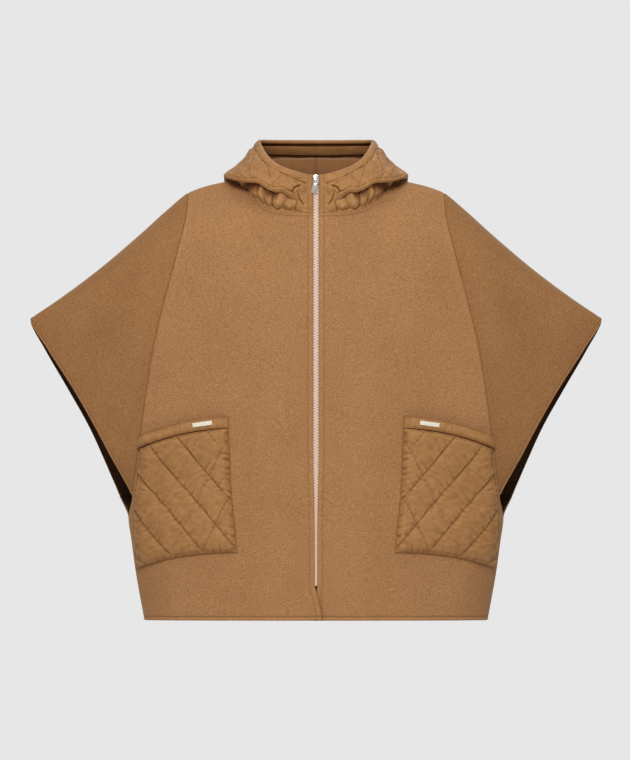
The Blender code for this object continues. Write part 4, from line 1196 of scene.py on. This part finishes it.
def fold_shaped(shell, normals, x, fold_reach, in_front):
    """The hood's wall drawn in just under its fold, with the fold's lower edge made wavy."""
    under = in_front * ease((x - 0.026) / 0.018)
    crook = CROOK * hump(fold_reach, -CROOK_AT, CROOK_WIDE) * under
    shell = shell - normals * crook[..., None]
    raised = fold_wave(x) * in_front * ease((fold_reach + 0.0140) / 0.0070)
    shell[..., 2] += raised * ease((0.0240 - fold_reach) / 0.0160)
    return shell


def hood_relief(x, z, width, down, reach, fold_reach, in_front):
    """Relief and shade of the hood: quilted above its fold, gathered below it in front."""
    edge = np.minimum(np.minimum(reach["top"], reach["low"]), reach["last"])
    puff, near_a, near_b = quilting(width, down)
    fine, sewn = puckers(width, down, near_a, near_b)
    away = ease((x - 0.030) / 0.012)  # 0 beside the zip
    turn = mix(0.034, 0.008, away)
    above = ease((fold_reach + turn / 2) / turn)  # 1 above the fold
    share = reach["top"] / reach["top"][FOLD_ROW][None, :]
    body = ease(share / 0.05) * ease((1.0 - share) / 0.20 + 0.15)
    gathered = (1 - above) * in_front * body
    pleats = front_gathers(x, z, share) * gathered
    tucks = ridges(x, z, PINCHES) * in_front * ease((0.06 - x) / 0.02)
    quiet = mix(1.0, QUIET_FRONT, in_front)
    rim_tug = noise(width / 0.0052, 0.3 + 0 * width, 21)  # the band's sewing pulls at the edge
    lift = above * quiet * (QUILT_RISE * puff * ease(edge / 0.010) + 0.8 * fine) + pleats + tucks
    lift += above * 0.0026 * rim_tug * np.exp(-reach["low"] / 0.0060) * ease(reach["low"] / 0.002)
    lift -= 0.0008 * (1 - ease(reach["low"] / 0.0040))
    # the fine groove just above the fold's edge, and the roll between the two
    lift -= 0.0014 * hump(fold_reach, 0.0066, 0.0009) * in_front * away
    lift += 0.0008 * hump(fold_reach, 0.0036, 0.0020) * in_front * away
    # the small wrinkles all over, in three sizes
    slant = width + 0.35 * down
    crumple = 0.0008 * noise(slant / 0.018, down / 0.010, 5)
    crumple += 0.0007 * noise(slant / 0.0090, down / 0.0046, 6)
    crumple += 0.0006 * noise(slant / 0.0046, down / 0.0030, 7) * (0.3 + 0.7 * (1 - above))
    lift += crumple * ease(edge / 0.006)
    shade = cavity(lift, 3, 230.0) * creased(pleats) * creased(tucks)
    # painted shade along the sewn quilting lines, painted light on the gathered part under the fold
    # in front, and the fold's painted shadow
    shade *= (1 - 0.10 * sewn * above * quiet) * (1 + 0.16 * (1 - above) * in_front)
    below = (1 - ease((fold_reach + 0.0060) / 0.0030)) * in_front
    return lift, shade * (1 - below * (1 - under_fold(x, z, 0.80)))


def make_hood():
    """Both quilted halves of the hood, with their lining and the band round the opening."""
    stations, shell, down, rim_rows = hood_grids()
    normals = grid_normals(shell)
    normals[:, 0, 0] = normals[:, -1, 0] = 0.0
    normals = facing_out(unit(normals), -8, FRONT_COLUMNS // 2)
    reach = reaches(shell)
    fold_reach = reach["top"] - reach["top"][FOLD_ROW][None, :]
    x, z = np.abs(shell[..., 0]), shell[..., 2]
    in_front = ease((HIDDEN_FROM + FRONT_FADE - stations) / FRONT_FADE)[None, :]
    shell = fold_shaped(shell, normals, x, fold_reach, in_front)
    near_rim = shell[-WIDTH_ROW : 2 - WIDTH_ROW]
    width = np.broadcast_to(reaches(near_rim)["first"][:1], down.shape)
    lift, shade = hood_relief(x, z, width, down, reach, fold_reach, in_front)
    # the wall is thinner along the fold's edge, away from the zip
    thin = hump(fold_reach, -0.0010, 0.0060) * in_front * ease((x - 0.040) / 0.030)
    outer = shell + normals * (NYLON / 2 * (1 - 0.62 * thin) + lift * (1 - 0.9 * thin))[..., None]
    inner = shell - normals * (NYLON / 2)
    left = wall("hood_left_quilted", outer, inner, [NYLON_LOOK, LINING_LOOK], shade)
    for obj in both(left, "hood"):
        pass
    make_lining(shell[::3, ::2], normals[::3, ::2])
    make_rim(rim_rows)


LINING_SHADE = (0.0130, 0.0070)  # the shadow under the opening's strip: its start and width


def make_lining(grid, normals):
    """The plain lining of each half, with a soft drag in it and its shadow under the strip."""
    soft = 0.0010 * noise(grid[..., 0] / 0.030, grid[..., 2] / 0.018, 41)
    reach = reaches(grid)
    soft = soft * ease(np.minimum(reach["last"], reach["low"]) / 0.010)
    outer = grid - normals * (NYLON / 2 + SEAM)
    inner = grid - normals * (NYLON / 2 + SEAM + LINING + 0.0010 + soft)[..., None]
    seam = 1 - 0.22 * hump(reach["last"], 0.0, 0.0012)
    under = 1 - 0.88 * (1 - ease((reach["low"] - LINING_SHADE[0]) / LINING_SHADE[1]))
    left = wall("hood_left_lining", outer, inner, [LINING_LOOK], np.ones(seam.shape), seam * under)
    for obj in both(left, "hood_lining"):
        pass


BAND_REACH, BAND_RING = 0.0300, 60  # how far below the rim its rows go, and their count
ROLL_DEEP = 0.0068  # how far below the rim its rolled edge ends on the inside
STRIP_FROM, STRIP_TO = 0.0102, 0.0262  # the strip inside the opening, down from the rim
STRIP_SHORT = 15  # columns that the strip inside the opening stops short of the zip


def across_both(half):
    """The rows of one side, carried over to the other side's mirror image."""
    other = half[:, -2::-1] * np.array([-1.0, 1.0, 1.0])
    return np.concatenate([half, other], axis=1)


def rim_band(grid, normals, along, from_top):
    """The padded band round the opening, with its rolled edge."""
    rows = from_top[:, 0] <= RIM + 1e-6
    band, band_out, top = grid[rows], normals[rows], from_top[rows]
    t = 1 - top / RIM
    tug = noise(along[rows] / 0.0058, 0.7 + 0 * t, 31)
    thick = RIM_WALL / 2 * (0.24 + 0.86 * np.sin(np.pi * np.clip(t * 0.92 + 0.08, 0, 1)) ** 0.6)
    lift = thick + (0.0018 * (1 - t) ** 2) * tug + 0.0003 * noise(along[rows] / 0.012, t * 3, 32)
    roll = np.sqrt(np.clip(1 - (2 * top / ROLL_DEEP - 1) ** 2, 0.0, 1.0)) * (top < ROLL_DEEP)
    inward = 0.0006 + 0.0030 * roll
    outer = band + band_out * lift[..., None]
    inner = band - band_out * inward[..., None]
    # painted shade on the inside of the band, below its rolled edge
    inside_shade = 1 - 0.85 * ease((top - ROLL_DEEP + 0.0012) / 0.0014)
    return wall("hood_rim_band", outer, inner, [NYLON_LOOK], cavity(lift, 2, 160.0), inside_shade)


def rim_strip(grid, normals, along, from_top):
    """The flatter strip that is sewn in along the inside of the opening."""
    rows = (from_top[:, 0] >= STRIP_FROM - 1e-6) & (from_top[:, 0] <= STRIP_TO + 1e-6)
    rows[:-1] |= rows[1:] & (from_top[:-1, 0] <= STRIP_TO + 0.0006)
    inside = slice(STRIP_SHORT, -STRIP_SHORT)
    strip, strip_out = grid[rows][:, inside], normals[rows][:, inside]
    top = from_top[rows][:, inside]
    t = (top - STRIP_FROM) / (STRIP_TO - STRIP_FROM)
    stand = 0.0030 + 0.0014 * np.sin(np.pi * np.clip(t, 0, 1)) ** 0.5 + 0.0012 * t
    stand += 0.0006 * noise(along[rows][:, inside] / 0.030, t, 33)
    front = strip - strip_out * (stand + 0.0012)[..., None]
    behind = strip - strip_out * (stand - 0.0004)[..., None]
    # the strip is painted evenly darker, as shade inside the opening
    return wall("hood_rim_facing", front, behind, [NYLON_LOOK], np.full(t.shape, 0.82))


def make_rim(half):
    """The band and the strip, each in one piece over both halves of the hood."""
    grid = across_both(half)
    normals = facing_out(grid_normals(grid), -4, FRONT_COLUMNS // 2)
    along = reaches(grid)["first"]
    from_top = BAND_REACH * (1 - np.linspace(0, 1, BAND_RING + 1))[:, None] + 0 * along
    band = rim_band(grid, normals, along, from_top)
    strip = rim_strip(grid, normals, along, from_top)
    for obj in (band, strip):
        stands_for(obj, "hood_rim")


# ---------------------------------------------------------------- zip
def front_line():
    """Heights and depths of the outer side beside the zip, from its end to the rim."""
    z = np.linspace(ZIP_END, NECKLINE["height"][0], 160)
    y = -depth("front", np.full_like(z, ZIP_EDGE), z)
    fine, _ = hood_section(0.0)
    above = fine[SPAN_STEPS:]
    heights = np.concatenate([z, above[:, 2]])
    depths = np.concatenate([y, above[:, 1] - WOOL / 2])
    order = np.argsort(heights)
    return heights[order], depths[order]


LINE_Z, LINE_Y = front_line()


def line_at(z):
    return np.interp(z, LINE_Z, LINE_Y)


def ribbon(name, z_low, z_high, x_in, x_out, front, back, material, crown=0.0):
    """An upright strip beside the zip, crowned across its width."""
    z = np.linspace(z_low, z_high, max(int((z_high - z_low) / 0.004), 4) + 1)[:, None]
    across = np.linspace(0, 1, 9)[None, :]
    x = mix(x_in, x_out, across) + 0 * z
    y = line_at(z) + 0 * across
    rise = crown * np.sin(np.pi * across) ** 0.5
    outer = np.stack([x, y + front - rise, z + 0 * x], axis=-1)
    inner = np.stack([x, y + back, z + 0 * x], axis=-1)
    return wall(name, outer, inner, [material], np.ones(x.shape))


def make_strips():
    """The nylon strips beside the zip in the hood, and the zip's woven tapes."""
    top = HOOD["rim"][0][2]
    for side, sign in (("left", 1), ("right", -1)):
        facing = ribbon("hood_facing_" + side + "_strip", NECKLINE["height"][0] - 0.0006, top,
                        sign * FACING_IN, sign * FACING_OUT, 0.0004, WOOL, NYLON_LOOK, 0.0012)
        tape = ribbon("zip_tape_" + side + "_woven", ZIP_END, SLIDER_LOW - 0.001,
                      sign * TAPE_IN, sign * TAPE_OUT, WOOL + TAPE_GAP,
                      WOOL + TAPE_GAP + TAPE_WALL, TAPE_LOOK)
        stands_for(facing, "hood_facing_" + side)
        stands_for(tape, "zip_tape_" + side)


TOOTH_PITCH, TOOTH_HIGH = 0.0026, 0.0019
TOOTH_NOSE, TOOTH_NECK = -0.0006, 0.0004  # where its nose ends, just past the middle, and starts
TOOTH_OUTLINE = (  # distance from the middle, and height as a share of a tooth's
    (TOOTH_NOSE, -0.30),
    (TOOTH_NECK, -0.50),
    (TEETH_HALF, -0.46),
    (TEETH_HALF, 0.46),
    (TOOTH_NECK, 0.50),
    (TOOTH_NOSE, 0.30),
)
TOOTH_RINGS = ((0.0030, 0.96), (0.0004, 1.00), (0.0000, 0.80))  # depth, and size at that depth


def make_teeth():
    """Two rows of closed teeth, each a small block with a narrowed nose."""
    points, faces = [], []
    low, high = ZIP_END + 0.0015, SLIDER_LOW - 0.0012
    count = int((high - low) / TOOTH_PITCH)
    for n in range(2 * count):
        side = 1 if n % 2 else -1
        z = low + n * TOOTH_PITCH / 2
        y = line_at(z) + mix(0.0006, 0.0022, ease((TAPER_FROM - z) / TAPER_OVER))
        faces += prism_faces(len(points), len(TOOTH_RINGS), len(TOOTH_OUTLINE))
        for behind, size in TOOTH_RINGS:
            for x, up in TOOTH_OUTLINE:
                across = mix(TEETH_HALF / 2, x, size)
                points.append((side * across, y + behind, z + up * TOOTH_HIGH * size))
    teeth = mesh_object("zip_teeth_rows", points, faces, [TEETH_LOOK], smooth_angle=30)
    stands_for(teeth, "zip_teeth")


def rounded_copy(node, name, width, material, body):
    """The solid's own shape with its edges rounded."""
    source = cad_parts[node]
    copy = source.copy()
    copy.data = source.data.copy()
    copy.name = copy.data.name = name
    for key in list(copy.keys()):
        del copy[key]
    copy.parent = None
    into_scene(copy)
    shape = bmesh.new()
    shape.from_mesh(copy.data)
    bmesh.ops.remove_doubles(shape, verts=shape.verts, dist=1e-5)
    bmesh.ops.dissolve_limit(shape, angle_limit=math.radians(2), verts=shape.verts,
                             edges=shape.edges)
    sharp = [e for e in shape.edges if e.calc_face_angle(0.0) > math.radians(25)]
    bmesh.ops.bevel(shape, geom=sharp, offset=width, segments=3, profile=0.5,
                    affect="EDGES", clamp_overlap=True)
    bmesh.ops.recalc_face_normals(shape, faces=shape.faces)
    shape.to_mesh(copy.data)
    shape.free()
    copy.data.shade_smooth()
    copy.data.set_sharp_from_angle(angle=math.radians(40))
    copy.data.materials.clear()
    copy.data.materials.append(material)
    stands_for(copy, node, body)


def make_trim():
    rounded_copy("zip_slider", "zip_slider_cast", 0.00035, SLIDER_LOOK, MAIN_BODY)
    rounded_copy("zip_pull", "zip_pull_tab", 0.00030, SLIDER_LOOK, PULL_BODY)
    for side in ("left", "right"):
        rounded_copy("pocket_plate_" + side, "pocket_plate_" + side + "_metal", 0.00018,
                     PLATE_LOOK, MAIN_BODY)


# ---------------------------------------------------------------- pockets
def pocket_place(across, down):
    """The (x, z) place on the front of a point across and down the pocket."""
    edge = {name: curve(down) for name, curve in POCKET_EDGE.items()}
    bow = mix(*POCKET_BOW, down) * 4 * across * (1 - across)
    x = mix(edge["inner_x"], edge["outer_x"], across)
    return x, mix(edge["inner_z"], edge["outer_z"], across) + bow


def pocket_hollow(across, from_bottom):
    """Room between the pocket's inner side and the front."""
    width = POCKET_EDGE["outer_x"](0.5) - POCKET_EDGE["inner_x"](0.5)
    side = np.minimum(np.minimum(across, 1 - across) * width / POCKET_ROUND, 1.0)
    rise = np.sin(np.pi / 2 * side) * np.sin(np.pi / 2 * np.minimum(from_bottom, 1))
    seat = mix(*POCKET_SEAT, across)
    return seat + (POCKET_HOLLOW - seat) * rise


CHANNEL_RISE = 0.0044  # how far the padding stands up between the pocket's strong lines
CROSS_PULL = 0.0014  # how far its fainter cross lines draw it in
POCKET_STEP = 0.00122  # between the pocket's rows and columns
CROSS_FADE, CROSS_LEFT = 0.090, 0.30  # how far from the inner edge they fade, and to what share


def pulled(along, off, size, stretch, fade, seed):
    """Wrinkles that run off a line or an edge and fade: along it, and how far off it."""
    return noise(along / size, off / stretch, seed) * np.exp(-off / fade)


def pocket_relief(along, below, reach, edge):
    """Padded channels between the slanting lines, wrinkled where the sewing gathers them."""
    _, near_a, near_b = quilting(along, below)
    length = math.hypot(1, QUILT_SLOPE_A)
    down_line = (below - QUILT_SLOPE_A * along) / length
    line = (along + QUILT_SLOPE_A * below - QUILT_START_A) / QUILT_PITCH_A
    beyond = (line - np.round(line)) * QUILT_PITCH_A / length
    channel = np.sin(np.pi / 2 * np.minimum(near_a / (QUILT_PITCH_A / length / 2), 1.0)) ** 0.48
    faint = (line < 0.5) * 0.75  # the first line, by the mouth's inner corner, hardly shows
    channel = mix(channel, 1.0, faint)
    strength = mix(1.0, CROSS_LEFT, ease(reach["first"] / CROSS_FADE))
    cross = np.exp(-near_b / 0.0030) * strength
    # wrinkles that run off the strong lines, in two sizes, and off the cross lines
    lean = down_line + 0.35 * near_a
    gather = pulled(lean, near_a, 0.0052, 0.022, 0.0100, 51)
    gather += 0.7 * pulled(lean, near_a, 0.0026, 0.010, 0.0045, 52)
    gather *= ease(near_a / 0.0016)
    gather_cross = pulled(along + below + 0.3 * near_b, near_b, 0.0042, 0.016, 0.007, 53)
    # wrinkles all over, and those that the sewing of the three sewn edges pulls in
    crumple = noise(along / 0.016, below / 0.012, 54)
    crumple += 0.5 * noise(along / 0.009, below / 0.006, 55)
    first, last, low = reach["first"], reach["last"], reach["low"]
    tug = 1.1 * pulled(below + 0.25 * first, first, 0.0050, 0.026, 0.0130, 56)
    outer_pull = 1.6 * pulled(below - 0.30 * last, last, 0.0052, 0.026, 0.0170, 57)
    tug += outer_pull * ease(low / 0.0120) * ease((last + 0.0020) / 0.0060)
    tug += 0.7 * pulled(along, low, 0.0042, 0.020, 0.0090, 58)
    lift = CHANNEL_RISE * channel - CROSS_PULL * cross + 0.0014 * gather
    lift += 0.0007 * gather_cross * strength + 0.0008 * crumple
    lift = lift * ease(edge / 0.0100) + 0.0024 * tug * ease(edge / 0.0022)
    lift -= 0.0012 * (1 - ease(edge / 0.0022))
    # painted shade: dark dots along the cross lines, and a dark line along the strong ones with a
    # painted highlight on one side
    dotted = 0.55 + 0.45 * np.sin(2 * np.pi * down_line / 0.0042)
    shade = cavity(lift, 2, 620.0) * (1 - 0.20 * strength * dotted * hump(near_b, 0.0, 0.0008))
    shade *= 1 - 0.30 * (1 - faint) * hump(beyond, 0.0004, 0.0008)
    shade *= 1 + 0.10 * hump(beyond, -0.0018, 0.0011)
    # painted shade along the sewn edges
    sides = np.minimum(low, np.minimum(first, last))
    return lift, shade * darker(sides, 0.34, 0.0014) * darker(reach["top"], 0.12, 0.0014)


def make_pockets():
    """The patch pockets, quilted and padded, thinner towards their edges."""
    across = spread(0.160, POCKET_STEP, EDGE_STEPS[:6])[None, :]
    down = spread(POCKET_TALL, POCKET_STEP, EDGE_STEPS[:6])[:, None]
    x, z = pocket_place(across, down)
    stand = pocket_hollow(across, (1 - down) * POCKET_TALL / POCKET_ROUND)
    base, normal = on_sheet("front", x, z), outward("front", x, z)
    reach = reaches(base)
    edge = np.minimum(np.minimum(reach["top"], reach["low"]),
                      np.minimum(reach["first"], reach["last"]))
    x_mouth, z_mouth = pocket_place(0.0, 0.0)
    along, below = x - x_mouth, z_mouth - z
    lift, shade = pocket_relief(along, below, reach, edge)
    wall_thick = NYLON * mix(0.35, 1.0, np.sqrt(np.minimum(edge / 0.0070, 1.0)))
    outer = base + normal * (stand + wall_thick + lift)[..., None]
    inner = base + normal * stand[..., None]
    left = wall("pocket_left_quilted", outer, inner, [POCKET_LOOK], shade)
    for obj in both(left, "pocket"):
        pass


BAND_DROOP, BAND_MORE = 0.0080, 0.0010  # its outer end is rounded off and a little taller
BAND_PAST = 0.0040  # how far its outer end stands out past the pocket
BAND_COLUMNS, BAND_ROWS = 141, 21


def make_bands():
    """The padded bands along the pockets' mouths, fuller towards their outer ends."""
    across = np.linspace(0, 1, BAND_COLUMNS)[None, :]
    up = np.linspace(1, 0, BAND_ROWS)[:, None]
    x, z = pocket_place(across, np.zeros_like(across))
    x = x + BAND_PAST * ease((across - 0.75) / 0.25) + 0 * up
    rounding = BAND_DROOP * np.clip((across - 0.90) / 0.10, 0.0, 1.0) ** 2.5
    z = z - 0.0006 + up * (BAND_DEPTH + BAND_MORE * across - rounding)
    stand = pocket_hollow(across, 1.0)
    puff = np.sin(np.pi * mix(0.12, 0.93, up)) ** 0.6
    end = np.sqrt(np.minimum(1.0, np.minimum(across, 1 - across) / 0.06))
    thick = NYLON + BAND_WALL * puff * (0.3 + 0.7 * end) * (1 + 0.35 * across)
    tug = np.sin(2 * np.pi * across / 0.085 + 3 * np.sin(11 * across)) * (1 - up) ** 1.5
    base, normal = on_sheet("front", x, z), outward("front", x, z)
    wrinkle = noise(across / 0.028, up * 1.5, 61) * np.sin(np.pi * up) ** 0.5
    wrinkle += 1.2 * noise(across / 0.022, up, 62) * np.exp(-up / 0.20)
    lift = thick + (0.0004 * tug + 0.0007 * wrinkle) * end
    outer = base + normal * (stand + lift)[..., None]
    inner = base + normal * (stand + 0 * up)[..., None]
    # painted shade towards its lower edge and at its upper edge, painted light along its middle
    shade = cavity(lift, 2, 260.0) * (1 - 0.30 * across * (1 - ease(up / 0.40)))
    shade *= 1 - 0.16 * (1 - ease(up / 0.12))
    shade *= 1 - 0.34 * (1 - ease((1 - up) / 0.10))
    shade *= mix(0.88, 1.07, np.sin(np.pi * np.clip(up * 0.9 + 0.08, 0, 1)) ** 0.8)
    left = wall("pocket_left_band", outer, inner, [POCKET_LOOK], shade)
    for obj in both(left, "pocket_band"):
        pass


# ---------------------------------------------------------------- stage
FRAME_HIGH = 1.292  # what the picture's height takes in
FRAME_X, FRAME_Z = -0.0017, -0.323  # the middle of the picture
CAMERA_FAR, SENSOR = 40.0, 36.0
PALE, FILL = 0.797, 0.50  # the backdrop as seen, and the share of it that lights the scene
SCALE_PLANE_Y = -0.040  # the depth at which the picture's scale holds
FLOOR_RADIUS, FLOOR_Z, FLOOR_SIDES = 3.2, -1.65, 96


def make_camera():
    data = bpy.data.cameras.new("camera")
    data.sensor_width = SENSOR
    data.lens = SENSOR * (CAMERA_FAR + SCALE_PLANE_Y) / FRAME_HIGH
    data.clip_end = 200.0
    camera = bpy.data.objects.new("camera", data)
    into_scene(camera)
    camera.location = (FRAME_X, -CAMERA_FAR, FRAME_Z)
    camera.rotation_euler = (math.radians(90), 0.0, 0.0)
    bpy.context.scene.camera = camera


def make_light(name, place, target, size, power):
    data = bpy.data.lights.new(name, "AREA")
    data.shape = "DISK"
    data.size = size
    data.energy = power
    light = bpy.data.objects.new(name, data)
    into_scene(light)
    light.location = place
    way = np.array(target) - np.array(place)
    yaw = math.atan2(way[1], way[0])
    pitch = math.atan2(-way[2], math.hypot(way[0], way[1]))
    light.rotation_euler = (math.radians(90) - pitch, 0.0, yaw - math.radians(90))


def make_stage():
    world = bpy.data.worlds.new("studio")
    bpy.context.scene.world = world
    world.use_nodes = True
    tree = world.node_tree
    background = tree.nodes["Background"]
    background.inputs["Color"].default_value = (*grey(PALE), 1.0)
    seen = tree.nodes.new("ShaderNodeLightPath").outputs["Is Camera Ray"]
    strength = tree.nodes.new("ShaderNodeMapRange")
    strength.inputs["To Min"].default_value = FILL
    tree.links.new(seen, strength.inputs["Value"])
    tree.links.new(strength.outputs["Result"], background.inputs["Strength"])
    angles = [2 * math.pi * k / FLOOR_SIDES for k in range(FLOOR_SIDES)]
    points = [(FLOOR_RADIUS * math.cos(a), FLOOR_RADIUS * math.sin(a), FLOOR_Z) for a in angles]
    look = Nodes("floor")
    tone = look.noise(look.places(), 3.0, 2.0, 0.5)
    look.link(look.ramp(tone, grey(0.80), grey(0.83)), "Base Color")
    look.set(Roughness=0.9, Specular_IOR_Level=0.1)
    floor = mesh_object("floor", points, [tuple(range(FLOOR_SIDES))], [look.material])
    make_light("key", (-0.3, -4.2, 2.0), (0.0, 0.0, -0.25), 1.6, 125.0)
    make_light("top", (0.2, -1.2, 3.4), (0.0, 0.0, -0.2), 1.6, 22.0)
    make_light("back", (0.3, 3.6, 3.0), (0.0, 0.0, -0.25), 2.4, 42.0)
    bpy.context.scene.view_settings.view_transform = "Standard"


make_camera()
make_stage()
make_fronts()
make_back()
make_sleeves("front")
make_sleeves("back")
make_hood()
make_strips()
make_teeth()
make_trim()
make_pockets()
make_bands()
